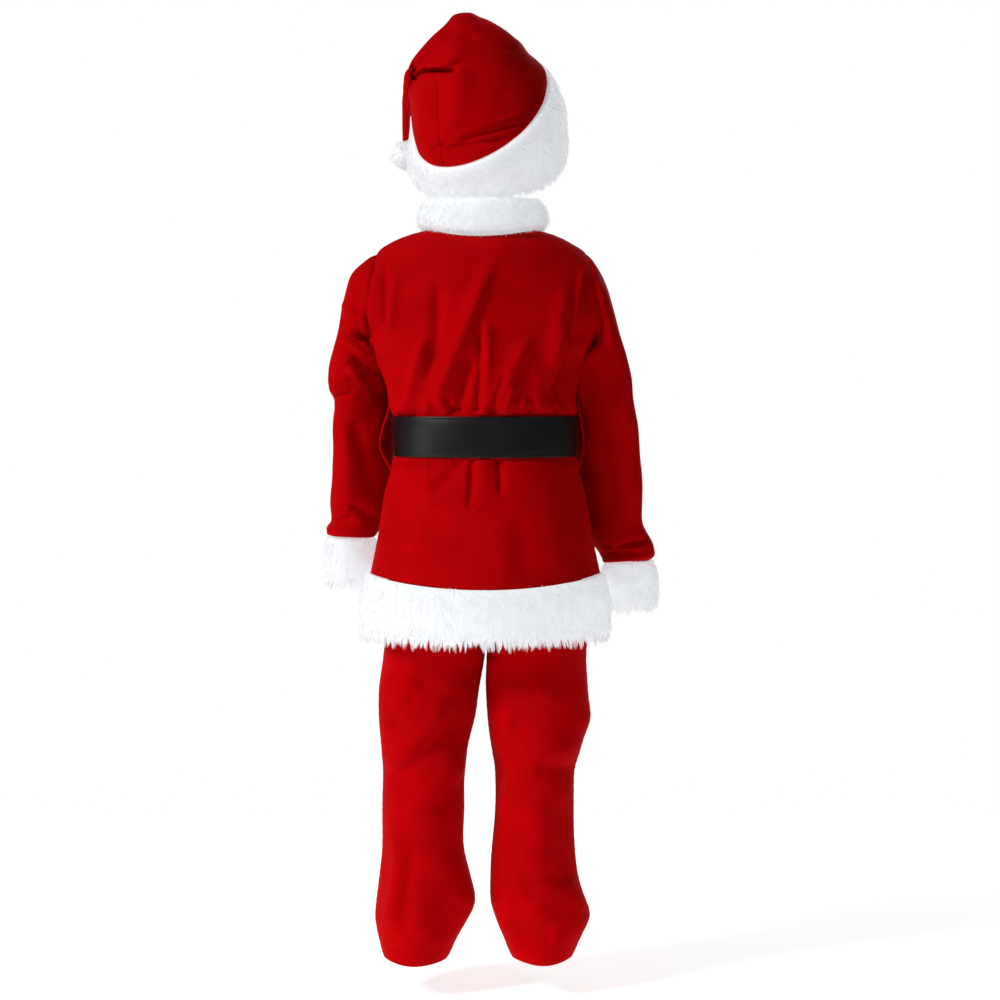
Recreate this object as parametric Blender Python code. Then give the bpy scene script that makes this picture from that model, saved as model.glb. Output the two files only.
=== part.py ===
"""Santa suit for a child of about 115 cm, hollow as worn: hat, belted jacket and trousers.

Sizes and tables are in millimetres; meshes are made in metres. The wearer faces -Y, the wearer's left
is +X, and the origin is at the base of the neck, between the shoulders. A cloth surface is a function of
a row and a column; its rows follow a short table of sections, joined by a smooth curve.
"""
import math

import bmesh
import bpy
import numpy as np

MM = 0.001
SEAM = 0.18          # what each panel stops short of its seam line, on its outer face
SEAM_INSIDE = 0.65   # the same on its inner face
CLOTH = 1.6          # wall of the velour
NORMAL_STEP = 0.02   # rows between the two points that give a surface's direction
REST = 0.45          # gap between pieces that lie on each other

# ---- jacket -------------------------------------------------------------------------------------
# Sections from the neckline to the hem. back and front are the centre lines; edge is the side line:
# shoulder seam down to row TIP, armhole down to row PIT, side seam below it. Columns:
# back_y, back_z, front_y, front_z, edge_x, edge_z, edge_back_y, edge_front_y, turn, lean
JACKET = np.array((
    (52, 2, -52, -22, 68, 12, 0, 0, 90, 3),
    (66, -12, -62, -32, 91, 6, 0, 0, 84, 5),
    (77, -28, -70, -44, 113, -4, 0, 0, 76, 5),
    (85, -46, -76, -58, 131, -18, 1, -1, 68, 4),
    (90, -66, -80, -74, 136, -46, 33, -23, 62, 3),
    (93, -88, -83, -93, 141, -75, 46, -32, 60, 3),
    (94, -111, -85, -114, 142, -104, 43, -30, 68, 3),
    (93, -135, -86, -136, 138, -131, 12, 8, 90, 3),
    (91, -161, -87, -161, 124.5, -156, 13, 13, 90, 6),
    (88, -184, -87, -184, 117, -182, 17, 17, 90, 5),
    (85, -204, -87, -204, 114, -204, 10, 10, 90, 2),
    (82, -219, -86, -219, 110, -219, 4, 4, 90, 0),
    (82, -245, -86, -245, 110, -245, 4, 4, 90, 0),
    (82, -271, -86, -271, 110, -271, 4, 4, 90, 0),
    (87, -284, -90, -284, 114.5, -284, 2, 2, 90, 0),
    (93, -308, -95, -306, 122.5, -306, 0, 0, 90, 0),
    (98, -340, -99, -338, 128.5, -335, 0, 0, 90, 0),
    (103, -379, -103, -376, 134.5, -370, 0, 0, 90, 0),
    (108, -428, -108, -424, 143, -415, 0, 0, 90, 0),
), float)
TIP, PIT, WAIST, HEM = 3, 7, 12, 18
ARMHOLE_STEPS = 8        # rows between the shoulder tip and the armpit
BACK_ACROSS = (0, 0.05, 0.1, 0.15, 0.21, 0.29, 0.4, 0.54, 0.7, 0.85, 1)
FRONT_ACROSS = (0, 0.12, 0.26, 0.4, 0.54, 0.7, 0.85, 1)

# Largest folds: from (x, z) to (x, z), half width and rise; a negative rise is a trough.
BACK_FOLDS = (
    (15, -112, 16, -214, 11, -4.5),
    (6, -214, -9, -60, 10, 4.0),
    (60, -142, 14, -78, 13, 3.0),
    (80, -206, 74, -130, 12, 3.0),
    (-10, -192, -62, -138, 14, 3.0),
    (17, -275, 17, -308, 5, -4.5),
    (-16, -275, -16, -306, 5, -5.0),
    (28, -276, 66, -316, 11, -3.0),
    (-52, -290, -70, -372, 16, 2.5),
    (96, -300, 104, -395, 16, 3.0),
)
FRONT_FOLDS = (
    (34, -214, 40, -130, 13, 3.5),
    (-30, -214, -38, -120, 13, 3.5),
    (70, -210, 92, -150, 12, -3.0),
    (-72, -210, -88, -158, 12, -3.0),
    (40, -276, 44, -312, 6, -4.5),
    (-42, -276, -40, -310, 6, -4.5),
    (84, -300, 92, -395, 16, 3.0),
    (-80, -300, -90, -390, 16, 3.0),
)

# ---- sleeves ------------------------------------------------------------------------------------
# Rings from the armhole to the cuff seam: their outer and inner points seen from the front or back,
# the middle line in y, half their depth, and how far their back part lies outside the front part:
# outer_x, outer_z, inner_x, inner_z, mid_y, half_depth, skew
SLEEVES = {
    "left": np.array((
        (140, -18, 145.5, -131, 6, 39, 0),
        (154, -28, 150, -137, 5, 40, 0),
        (167, -44, 149, -143, 4, 41, 1.5),
        (175, -72, 143, -150, 1.5, 43, 8),
        (181, -103, 132, -153, -2, 44, 11),
        (187, -133, 126, -164, -9, 44, 16),
        (194, -162, 120, -179, -17, 44, 18),
        (194, -186, 118, -194, -22, 43, 19),
        (188, -202, 116, -208, -25, 42, 19),
        (190, -226, 114, -229, -30, 41, 18),
        (191, -262, 115, -262, -36, 40, 17),
        (193, -298, 118, -298, -42, 39, 15),
        (196, -330, 122, -330, -48, 38, 12),
        (195, -352, 128, -352, -53, 36, 9),
        (199, -363, 134, -362, -56, 37, 6),
        (195, -372, 147, -374, -58, 28, 0),
    ), float),
    "right": np.array((
        (133, -18, 142.5, -131, 5.5, 39.5, 0),
        (144, -37, 144.5, -137, 5.5, 39.5, 0),
        (153, -60, 145.5, -143, 4.5, 40, 1.5),
        (160, -88, 138.5, -151, 2, 42.5, 5.5),
        (167, -118, 127, -157, -2.5, 44.5, 10),
        (175, -146, 117, -165, -9, 44, 16),
        (181.5, -172, 112, -182, -17, 44, 17),
        (184.5, -196, 108, -200, -22, 43, 18),
        (189.5, -226, 109, -226, -29, 42, 17),
        (193.5, -260, 110, -258, -35, 41, 16),
        (198, -292, 115, -290, -41, 40, 14),
        (199, -325, 120, -322, -47, 39, 12),
        (199.5, -352, 125, -352, -53, 38, 10),
        (204, -366, 130, -365, -56, 38, 8),
        (213, -383, 141, -382, -60, 38, 6),
        (214, -396, 152, -396, -63, 34, 3),
        (209, -404, 159, -405, -65, 27, 0),
    ), float),
}
SLEEVE_FADE = 2.5        # rows over which a sleeve leaves the armhole's outline
CUFF_LENGTH = 61
CUFF_FORWARD = 10        # how far the cuff's lower edge lies in front of its upper one
CUFF_TAPER = 0.94        # size of that lower edge, as a share of the upper one
FUR_CUFF = 11.5

# ---- hat ----------------------------------------------------------------------------------------
# Rings from the brim over the peak and down the folded tail: their right and left points, the middle
# line in y, half their depth, and how far the back lies below the middle:
# right_x, right_z, left_x, left_z, mid_y, half_depth, back_drop
HAT = np.array((
    (-78, 196, 86, 126, -10, 82, 66),
    (-76, 206, 92, 150, -10, 82.5, 57),
    (-70, 214, 93, 172, -11, 81, 50),
    (-62, 223, 92.5, 190, -12, 78, 43),
    (-48, 240, 88.5, 201.5, -14, 73, 35),
    (-26, 263, 86, 207, -16, 66, 25),
    (4, 281, 87, 210.5, -18, 57, 15),
    (34, 283, 88.5, 212.5, -21, 48, 7),
    (56, 266, 90.5, 213.5, -24, 41, 2),
    (77, 243, 93, 213, -27, 35, 0),
    (94, 223.5, 95.5, 210.5, -30, 31, 0),
    (104.5, 208, 96.8, 205.5, -33, 27, 0),
    (106, 191, 96, 191, -39, 22, 0),
    (105.5, 170, 95.5, 170, -48, 16, 0),
    (106, 150, 96, 150, -61, 10, 0),
    (106, 131.5, 98.5, 131.5, -75, 5, 0),
), float)
HAT_SEAM = 123           # degrees round a ring from its right point to the back seam
HAT_SEAM_GAP = 0.6      # what each half of the hat stops short of that seam
HAT_FOLDS = (            # seen from the back: the dent under the folded tip, and troughs by the brim
    (88, 196, 40, 208, 9, -6.0),
    (-30, 118, 28, 100, 10, -3.0),
    (-58, 150, -34, 122, 10, -2.5),
)
HAT_STEPS = 10           # columns of cells on each half of the hat
FUR_BRIM = 15
BRIM_STEPS = 30
BRIM_INSET = 1.0
# Lower edge of the brim, every eighth of a turn from the right by the back: x, y, z
BRIM_LOW = np.array((
    (-92, -42, 112), (-73, 10, 70), (-8, 36, 56), (52, 16, 60),
    (79, -46, 88), (54, -103, 142), (-8, -126, 178), (-74, -101, 166),
), float)
POMPOM_RADIUS = 17.5
POMPOM_CELLS = (14, 9)
POMPOM_CENTRE = (103, -82, 114)

# ---- fur on the jacket --------------------------------------------------------------------------
COLLAR_TOP = 49.2
COLLAR_FRONT_DIP = 22    # how far the collar's top falls towards the centre front
COLLAR_TAPER = 0.95      # size of the collar's top, as a share of the neckline
COLLAR_INSET = 2.0       # how far the collar's wall reaches inside the neckline
FUR_COLLAR = 14
HEM_HEIGHT = 86          # from the top of the jacket's edge at the sides to the bottom of the fur
HEM_FLARE = 1.015
EDGE_INSET = 1.6         # how far a fur band's wall reaches inside the edge it hangs from
FUR_HEM = 13
FRONT_GAP = 1.0          # between the two ends of a fur band at the centre front

# ---- trousers -----------------------------------------------------------------------------------
# Sections from the waist to the hem. split is 0 where the two legs share one section and 1 where
# each leg is a tube of its own; hem_lift raises the front of a section and lowers its back. Columns:
# split, side_x, inner_x, side_z, inner_z, hem_lift, mid_y, back, front
TROUSERS = {
    "left": np.array((
        (0.00, 105, 0, -264, -264, 0, 0, 78, 82),
        (0.03, 107, 0, -284, -284, 0, 0, 81, 84.5),
        (0.10, 114, 0, -312, -314, 0, 0, 88, 87),
        (0.20, 118, 0, -344, -348, 0, 0, 91, 87),
        (0.34, 121, 0, -376, -384, 0, 0, 91, 85),
        (0.55, 123.5, 0, -408, -420, 0, 0, 87, 80),
        (0.80, 125, 0, -438, -450, 0, 0, 80, 72),
        (1.00, 125, 0.6, -466, -470, 0, 0, 72, 65),
        (1.00, 125.5, 5, -494, -494, 0, 0, 66, 61),
        (1.00, 128, 8, -520, -520, 0, 0, 63, 59),
        (1.00, 132, 12.5, -560, -560, 0, 0, 62, 58),
        (1.00, 132, 15, -595, -595, 0, 1, 62, 57),
        (1.00, 128.5, 21.5, -635, -635, 0, 2, 61, 56),
        (1.00, 127, 25.5, -675, -675, 0, 3, 59, 56),
        (1.00, 127.5, 26.5, -715, -715, 0, 2, 58, 57),
        (1.00, 129, 26, -757, -757, 0, 0, 58, 58),
        (1.00, 132.5, 18, -792, -792, 2, -2, 59, 60),
        (1.00, 137, 12.5, -824, -824, 5, -4, 60, 63),
        (1.00, 138.5, 21, -845, -845, 9, -5, 60, 66),
        (1.00, 135.5, 33, -865, -865, 13, -6, 59, 67),
        (1.00, 130.5, 43, -882, -882, 14, -6, 58, 66),
    ), float),
    "right": np.array((
        (0.00, 105, 0, -264, -264, 0, 0, 78, 82),
        (0.03, 107, 0, -284, -284, 0, 0, 81, 84.5),
        (0.10, 114, 0, -312, -314, 0, 0, 88, 87),
        (0.20, 118, 0, -344, -348, 0, 0, 91, 87),
        (0.34, 121, 0, -376, -384, 0, 0, 91, 85),
        (0.55, 124, 0, -408, -420, 0, 0, 87, 80),
        (0.80, 126, 0, -438, -450, 0, 0, 80, 72),
        (1.00, 127, 0.6, -466, -470, 0, 0, 72, 65),
        (1.00, 127.5, 2.5, -494, -494, 0, 0, 67, 61),
        (1.00, 127.5, 2.5, -520, -520, 0, -1, 64, 60),
        (1.00, 129, 1.5, -560, -560, 0, -2, 64, 60),
        (1.00, 128, 3, -595, -595, 0, -3, 63, 59),
        (1.00, 121, 8, -635, -635, 0, -4, 61, 58),
        (1.00, 113, 12.5, -668, -668, 0, -4, 59, 58),
        (1.00, 111.5, 13, -710, -710, 0, -4, 58, 58),
        (1.00, 113, 9.5, -752, -752, 0, -5, 58, 59),
        (1.00, 117, 6.5, -790, -790, 2, -7, 60, 61),
        (1.00, 126, 6.5, -822, -822, 5, -9, 61, 64),
        (1.00, 131.5, 12, -843, -843, 9, -10, 61, 67),
        (1.00, 122, 21, -863, -863, 13, -11, 60, 68),
        (1.00, 112, 31, -882, -882, 14, -11, 58, 67),
    ), float),
}
LEG_TOP = 8              # first row of the legs with folds
LEG_STEPS = 8            # columns of cells on a trouser panel
LEG_FOLDS = {            # seen from the back, as on the jacket
    "left": (
        (100, -642, 52, -596, 13, -3.5),
        (76, -700, 28, -646, 13, 3.0),
        (104, -778, 116, -836, 10, -3.0),
        (46, -800, 70, -858, 12, 3.0),
    ),
    "right": (
        (-44, -590, -100, -620, 17, -4.0),
        (-52, -762, -56, -850, 11, -3.0),
        (-92, -680, -60, -710, 10, 3.0),
    ),
}
WAISTBAND_HEIGHT = 33
WAISTBAND_WALL = 2.6

# ---- belt ---------------------------------------------------------------------------------------
BELT_WIDTH = 50
BELT_WALL = 2.4
BELT_Z = -245
BELT_GAP = 0.95          # between the belt and the jacket
BELT_START = -6          # the fixed end lies this far past the centre front, under the bar
LOOP_SAMPLES = 41        # points taken on each quarter of the waist
BELT_STATIONS = (44, 20) # along the plain part, and along the part that passes over the bar
LAP = 66                 # length of the free end past the buckle's bar
LIFT = 5.9               # how far the belt rises to pass over the bar
LIFT_RUN = 45            # the rise begins this far before the bar
LIFT_END = 12            # and ends this far before it
FALL_START = 10          # past the bar the free end sinks back onto the belt
FALL_RUN = 24
BUCKLE_HALF_WIDTH = 35
BUCKLE_HALF_HEIGHT = 33
BUCKLE_RAIL = 7
BUCKLE_THICK = 3
BAR_WALL = 2.2
BAR_WIDTH = 5
BAR_FOOT_INSET = 3.4     # of the two posts that join the bar to the frame
BUCKLE_BEVEL = 0.6
LOOP_WIDTH = 11
LOOP_WALL = 1.8
LOOP_STAND_OFF = (("left", 1, 0.84), ("right", -1, 0.42))   # side, and share of the run below
LOOP_REST = 6            # where it stands off less than this, a loop lies on the jacket
# A loop's run from above the belt to below it: how far it stands off the belt, and its height.
LOOP_RUN = ((0.0, -203), (5.5, -211), (9, -221), (14, -233), (18, -246), (19, -257), (15.5, -267),
            (9, -277), (0, -286))

COLOURS = {
    "velour": ((0.42, 0.004, 0.010), 0.75, 0.0),
    "fur": ((0.86, 0.86, 0.87), 0.95, 0.0),
    "belt": ((0.012, 0.013, 0.016), 0.42, 0.0),
    "buckle": ((0.83, 0.62, 0.25), 0.3, 1.0),
    "elastic": ((0.36, 0.004, 0.010), 0.85, 0.0),
}


def clear_scene():
    for item in list(bpy.data.objects):
        bpy.data.objects.remove(item, do_unlink=True)


def section(table, row):
    """Values of a table at a whole or part row, on a Catmull-Rom curve through its rows."""
    last = len(table) - 1
    row = min(max(row, 0.0), float(last))
    start = min(int(row), last - 1)
    t = row - start
    before, here = table[max(start - 1, 0)], table[start]
    there, after = table[start + 1], table[min(start + 2, last)]
    return here + 0.5 * t * (there - before + t * (
        2 * before - 5 * here + 4 * there - after + t * (3 * (here - there) + after - before)))


def ease(t):
    """0 up to t = 0, 1 from t = 1, smooth between."""
    t = min(max(t, 0.0), 1.0)
    return t * t * (3 - 2 * t)


def fold_rise(x, z, folds):
    """Height of all folds at a place seen from the front or back, each fading towards its ends."""
    rise = 0.0
    for x0, z0, x1, z1, half_width, height in folds:
        run = np.array((x1 - x0, z1 - z0), float)
        length = np.hypot(*run)
        offset = np.array((x - x0, z - z0), float)
        along = float(offset @ run) / length ** 2
        aside = abs(float(offset[0] * run[1] - offset[1] * run[0])) / length
        beyond = max(-along, along - 1, 0.0) * length
        centre = math.cos(math.pi * min(max(along, 0.0), 1.0) - math.pi / 2) ** 0.5 if 0 < along < 1 else 0
        rise += height * centre * math.exp(-(aside / half_width) ** 2 - (beyond / half_width) ** 2)
    return rise


def fold_mask(z):
    """0 where the belt presses the jacket flat, 1 away from it."""
    return min(max((abs(z - BELT_Z) - BELT_WIDTH / 2 - 2) / 10, 0.0), 1.0)


def stadium(cos, sin, half_width, half_depth):
    """A ring's point as shares of its two half sizes: round ends of the smaller one's radius."""
    def spread(t):
        return t * (1.5 - 0.5 * t * t)
    if half_depth > half_width:
        return cos, (half_width * sin + (half_depth - half_width) * spread(sin)) / half_depth
    return (half_depth * cos + (half_width - half_depth) * spread(cos)) / half_width, sin


def armhole_row(share):
    """Jacket row at a share of the way down the armhole, closer together at its two ends."""
    return TIP + (PIT - TIP) * (share + (1 - math.cos(math.pi * share)) / 2) / 2


def jacket_surface(face):
    """Outer surface of the jacket's back (face 1) or front (face -1).

    The column runs from -1, the wearer's right edge, to 1, the left edge.
    """
    def point(row, column):
        (back_y, back_z, front_y, front_z, edge_x, edge_z,
         edge_back, edge_front, turn, lean) = section(JACKET, row)
        centre_y, centre_z, edge_y = ((back_y, back_z, edge_back) if face > 0
                                      else (front_y, front_z, edge_front))
        edge = math.radians(min(turn, 90.0))
        angle = abs(column) * edge
        sag = (1 - math.cos(angle)) / (1 - math.cos(edge))
        x = math.copysign(edge_x * math.sin(angle) / math.sin(edge), column) + lean
        y = centre_y + (edge_y - centre_y) * sag
        z = centre_z + (edge_z - centre_z) * math.sin(abs(column) * math.pi / 2) ** 2
        rise = fold_rise(x, z, BACK_FOLDS if face > 0 else FRONT_FOLDS) * fold_mask(z)
        rise *= math.cos(angle)
        return np.array((x + rise * 0.5 * math.sin(angle) * (1 if column > 0 else -1),
                         y + face * rise, z))
    return point


def armhole(side, share):
    """Point on the armhole: share runs once round from the shoulder tip, by the back, to the tip."""
    back = share <= 0.5
    down = share * 2 if back else (1 - share) * 2
    return jacket_surface(1 if back else -1)(armhole_row(down), side)


def sleeve_surface(name):
    """Outer surface of a sleeve: the column runs once round, from the outside by the back."""
    table = SLEEVES[name]
    side = 1 if name == "left" else -1

    def ring(row, column):
        outer_x, outer_z, inner_x, inner_z, mid_y, half_depth, skew = section(table, row)
        angle = column * 2 * math.pi
        reach = math.hypot(outer_x - inner_x, outer_z - inner_z) / 2
        half_width = math.sqrt(reach ** 2 - skew ** 2)
        across, deep = stadium(math.cos(angle), math.sin(angle), half_width, half_depth)
        across = across * half_width / reach + deep * skew / reach
        return np.array((side * ((outer_x + inner_x) / 2 + (outer_x - inner_x) / 2 * across),
                         mid_y + half_depth * deep,
                         (outer_z + inner_z) / 2 + (outer_z - inner_z) / 2 * across))

    def point(row, column):
        share = column % 1.0
        fade = max(1 - row / SLEEVE_FADE, 0.0) ** 2
        return ring(row, share) + (armhole(side, share) - ring(0, share)) * fade
    return point


def hat_surface(thinner):
    """The hat's surface, each ring smaller by a wall: 0 gives the outer one.

    The column runs once round in degrees, from the right by the back.
    """
    def point(row, column):
        right_x, right_z, left_x, left_z, mid_y, half_depth, back_drop = section(HAT, row)
        angle = math.radians(column)
        half_width = math.hypot(right_x - left_x, right_z - left_z) / 2
        across, deep = stadium(math.cos(angle), math.sin(angle),
                               half_width - thinner, half_depth - thinner)
        across *= 1 - thinner / half_width
        deep *= 1 - thinner / half_depth
        x = (right_x + left_x) / 2 + (right_x - left_x) / 2 * across
        y = mid_y + half_depth * deep
        z = (right_z + left_z) / 2 + (right_z - left_z) / 2 * across - back_drop * deep
        return np.array((x, y + fold_rise(x, z, HAT_FOLDS) * max(deep, 0.0), z))
    return point


def trouser_surface(name, face):
    """Outer surface of one trouser panel: the column runs from 0, centre or inner seam, to 1."""
    table = TROUSERS[name]
    side = 1 if name == "left" else -1

    def point(row, column):
        split, side_x, inner_x, side_z, inner_z, lift, mid_y, back, front = section(table, row)
        split = min(split, 1.0)
        inner_x = inner_x if split >= 1.0 else 0.0
        centre = split * side_x / 2 if split < 1.0 else (side_x + inner_x) / 2
        half = side_x - centre
        start = math.acos(min(centre / half, 1.0)) if split < 1.0 else 0.0
        angle = start + (math.pi - start) * column
        x = side * (centre - half * math.cos(angle))
        deep = math.sin(angle)
        y = mid_y + face * (back if face > 0 else front) * deep
        z = inner_z + (side_z - inner_z) * (1 - math.cos(math.pi * column)) / 2 - face * lift * deep
        rise = fold_rise(x, z, LEG_FOLDS[name]) * deep * (1 if row >= LEG_TOP else 0)
        return np.array((x, y + face * rise, z))
    return point


def wall_points(surface, rows, columns, axis, thickness):
    """Grids of the outer points of a surface and of the points one wall thickness inside them."""
    step_row = NORMAL_STEP
    step_column = abs(columns[-1] - columns[0]) * NORMAL_STEP / 10
    outer, normals, outward = [], [], 0.0
    low, high = rows[0], rows[-1]
    for row in rows:
        outer.append([surface(row, column) for column in columns])
        line = []
        for column in columns:
            down = (surface(min(row + step_row, high), column)
                    - surface(max(row - step_row, low), column))
            across = (surface(row, column + step_column * (column < columns[-1]))
                      - surface(row, column - step_column * (column > columns[0])))
            normal = np.cross(down, across)
            normal /= np.linalg.norm(normal)
            outward += float(normal @ (surface(row, column) - axis(row)))
            line.append(normal)
        normals.append(line)
    outer, normals = np.array(outer), np.array(normals)
    if outward < 0:
        normals = -normals
    return outer, outer - normals * thickness


def draw_in(grid, gap, ends):
    """Moves the first and last columns of a grid a little inwards."""
    moved = grid.copy()
    if ends[0]:
        step = grid[:, 1] - grid[:, 0]
        moved[:, 0] += gap * step / np.linalg.norm(step, axis=-1, keepdims=True)
    if ends[1]:
        step = grid[:, -2] - grid[:, -1]
        moved[:, -1] += gap * step / np.linalg.norm(step, axis=-1, keepdims=True)
    return moved


def make_object(name, mesh_builder, colour):
    """Links one named object with its material, from a bmesh in millimetres."""
    bmesh.ops.recalc_face_normals(mesh_builder, faces=mesh_builder.faces)
    bmesh.ops.scale(mesh_builder, vec=(MM, MM, MM), verts=mesh_builder.verts)
    mesh = bpy.data.meshes.new(name)
    mesh_builder.to_mesh(mesh)
    mesh_builder.free()
    base, roughness, metallic = COLOURS[colour]
    material = bpy.data.materials.new(name + "_" + colour)
    material.use_nodes = True
    shader = material.node_tree.nodes["Principled BSDF"]
    shader.inputs["Base Color"].default_value = (*base, 1.0)
    shader.inputs["Roughness"].default_value = roughness
    shader.inputs["Metallic"].default_value = metallic
    mesh.materials.append(material)
    mesh.shade_smooth()
    mesh.set_sharp_from_angle(angle=math.radians(50))
    item = bpy.data.objects.new(name, mesh)
    bpy.context.scene.collection.objects.link(item)
    return item


def skin(builder, corners, closed_rows=False, closed_columns=False):
    """Adds a grid of vertices and its faces, two triangles a cell; returns the vertices."""
    verts = [[builder.verts.new(point) for point in line] for line in corners]
    rows = len(verts)
    columns = len(verts[0])
    for r in range(rows if closed_rows else rows - 1):
        for c in range(columns if closed_columns else columns - 1):
            a, b = verts[r][c], verts[r][(c + 1) % columns]
            d, e = verts[(r + 1) % rows][c], verts[(r + 1) % rows][(c + 1) % columns]
            builder.faces.new((a, b, e))
            builder.faces.new((a, e, d))
    return verts


def stitch(builder, first, second, closed=False):
    """Joins two lines of vertices with triangles."""
    count = len(first)
    for k in range(count if closed else count - 1):
        n = (k + 1) % count
        builder.faces.new((first[k], first[n], second[n]))
        builder.faces.new((first[k], second[n], second[k]))


def make_wall(name, outer, inner, colour, ring=False):
    """A closed wall between two grids; a ring has no side edges."""
    builder = bmesh.new()
    outside = skin(builder, outer, closed_columns=ring)
    inside = skin(builder, inner, closed_columns=ring)
    stitch(builder, outside[0], inside[0], ring)
    stitch(builder, outside[-1], inside[-1], ring)
    if not ring:
        stitch(builder, [line[0] for line in outside], [line[0] for line in inside])
        stitch(builder, [line[-1] for line in outside], [line[-1] for line in inside])
    return make_object(name, builder, colour)


def make_panel(name, surface, rows, columns, axis, colour="velour", thickness=CLOTH):
    outer, inner = wall_points(surface, rows, columns, axis, thickness)
    outer, inner = draw_in(outer, SEAM, (True, True)), draw_in(inner, SEAM_INSIDE, (True, True))
    return make_wall(name, outer, inner, colour)


def turn_rows(grid, gap, ends):
    """The same for the first and last rows."""
    return draw_in(grid.transpose(1, 0, 2), gap, ends).transpose(1, 0, 2)


def make_jacket():
    def axis(row):
        values = section(JACKET, row)
        return np.array((values[9], 0.0, values[5] - 30 if row < TIP else values[5]))
    rows = ([0, 1, 2] + [armhole_row(k / ARMHOLE_STEPS) for k in range(ARMHOLE_STEPS)]
            + list(range(PIT, HEM + 1)))
    make_panel("jacket_back", jacket_surface(1), rows,
               [-c for c in reversed(BACK_ACROSS[1:])] + list(BACK_ACROSS), axis)
    make_panel("jacket_front_left", jacket_surface(-1), rows, list(FRONT_ACROSS), axis)
    make_panel("jacket_front_right", jacket_surface(-1), rows,
               [-c for c in reversed(FRONT_ACROSS)], axis)


def make_sleeves():
    count = 2 * ARMHOLE_STEPS
    for name, table in SLEEVES.items():
        side = 1 if name == "left" else -1

        def axis(row, table=table, side=side):
            outer_x, outer_z, inner_x, inner_z, mid_y = section(table, row)[:5]
            return np.array((side * (outer_x + inner_x) / 2, mid_y, (outer_z + inner_z) / 2))
        rows = list(range(len(table)))
        columns = [k / count for k in range(count + 1)]
        outer, inner = wall_points(sleeve_surface(name), rows, columns, axis, CLOTH)
        outer = turn_rows(outer[:, :-1], 3 * SEAM, (True, False))
        inner = turn_rows(inner[:, :-1], 1.5 * SEAM_INSIDE, (True, False))
        make_wall("sleeve_" + name, outer, inner, "velour", ring=True)


def make_fur_band(name, top, bottom, thickness, outward, inset, ring=True):
    """A fur band between two lines of points: flat inside, crowned outside."""
    profile = ((0.0, -inset), (0.0, 0.42 * thickness), (0.11, 0.80 * thickness),
               (0.32, thickness), (0.66, thickness), (0.90, 0.80 * thickness),
               (1.0, 0.45 * thickness), (1.0, -inset))
    builder = bmesh.new()
    lines = [[top[k] + (bottom[k] - top[k]) * down + outward[k] * out for k in range(len(top))]
             for down, out in profile]
    verts = skin(builder, lines, closed_rows=True, closed_columns=ring)
    if not ring:
        for end in (0, -1):
            builder.faces.new([line[end] for line in verts])
    return make_object(name, builder, "fur")


def loop_outward(points, up, ring=True):
    """Unit vectors across a loop of points, square to it and to the direction up, pointing out."""
    points = np.array(points)
    middle = points.mean(axis=0)
    result = []
    for k in range(len(points)):
        after = points[(k + 1) % len(points)] if ring or k < len(points) - 1 else points[k]
        before = points[k - 1] if ring or k > 0 else points[k]
        across = np.cross(after - before, up)
        across /= np.linalg.norm(across)
        result.append(across * math.copysign(1.0, float(across @ (points[k] - middle))))
    return np.array(result)


def jacket_loop(row):
    """Points round the jacket at one row, from the centre front by the left side to the front.

    They lie where the panels' columns do, so that what follows the loop keeps its gap.
    """
    front, back = jacket_surface(-1), jacket_surface(1)
    return np.array([front(row, c) for c in FRONT_ACROSS]
                    + [back(row, c) for c in reversed(BACK_ACROSS[:-1])]
                    + [back(row, -c) for c in BACK_ACROSS[1:]]
                    + [front(row, -c) for c in reversed(FRONT_ACROSS[:-1])])


def open_front(points):
    """Pulls the two ends of a loop apart at the centre front."""
    points = points.copy()
    points[0, 0] += FRONT_GAP / 2
    points[-1, 0] -= FRONT_GAP / 2
    return points


def make_jacket_fur():
    up = np.array((0.0, 0.0, 1.0))
    neck = jacket_loop(0) + up * REST
    top = neck.copy()
    top[:, 2] = COLLAR_TOP + COLLAR_FRONT_DIP * np.minimum(neck[:, 1] / abs(neck[0, 1]), 0.0)
    top[:, :2] = neck[:, :2] * COLLAR_TAPER
    neck, top = open_front(neck), open_front(top)
    outward = loop_outward(neck, up, ring=False)
    make_fur_band("collar_fur", top, neck, FUR_COLLAR, outward, COLLAR_INSET, ring=False)

    edge = jacket_loop(HEM) - up * 1.7 * REST
    low = edge.copy()
    low[:, 2] = edge[:, 2].max() - HEM_HEIGHT
    low[:, :2] *= HEM_FLARE
    edge, low = open_front(edge), open_front(low)
    make_fur_band("hem_fur", edge, low, FUR_HEM, loop_outward(edge, up, ring=False), EDGE_INSET,
                  ring=False)

    for name in SLEEVES:
        surface, last = sleeve_surface(name), len(SLEEVES[name]) - 1
        count = 2 * ARMHOLE_STEPS
        wrist = np.array([surface(last, k / count) for k in range(count)]) - up * REST
        middle = wrist.mean(axis=0)
        low = middle + (wrist - middle) * CUFF_TAPER
        low += np.array((0.0, -CUFF_FORWARD, -CUFF_LENGTH))
        make_fur_band("cuff_" + name, wrist, low, FUR_CUFF, loop_outward(wrist, up), EDGE_INSET)


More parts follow.
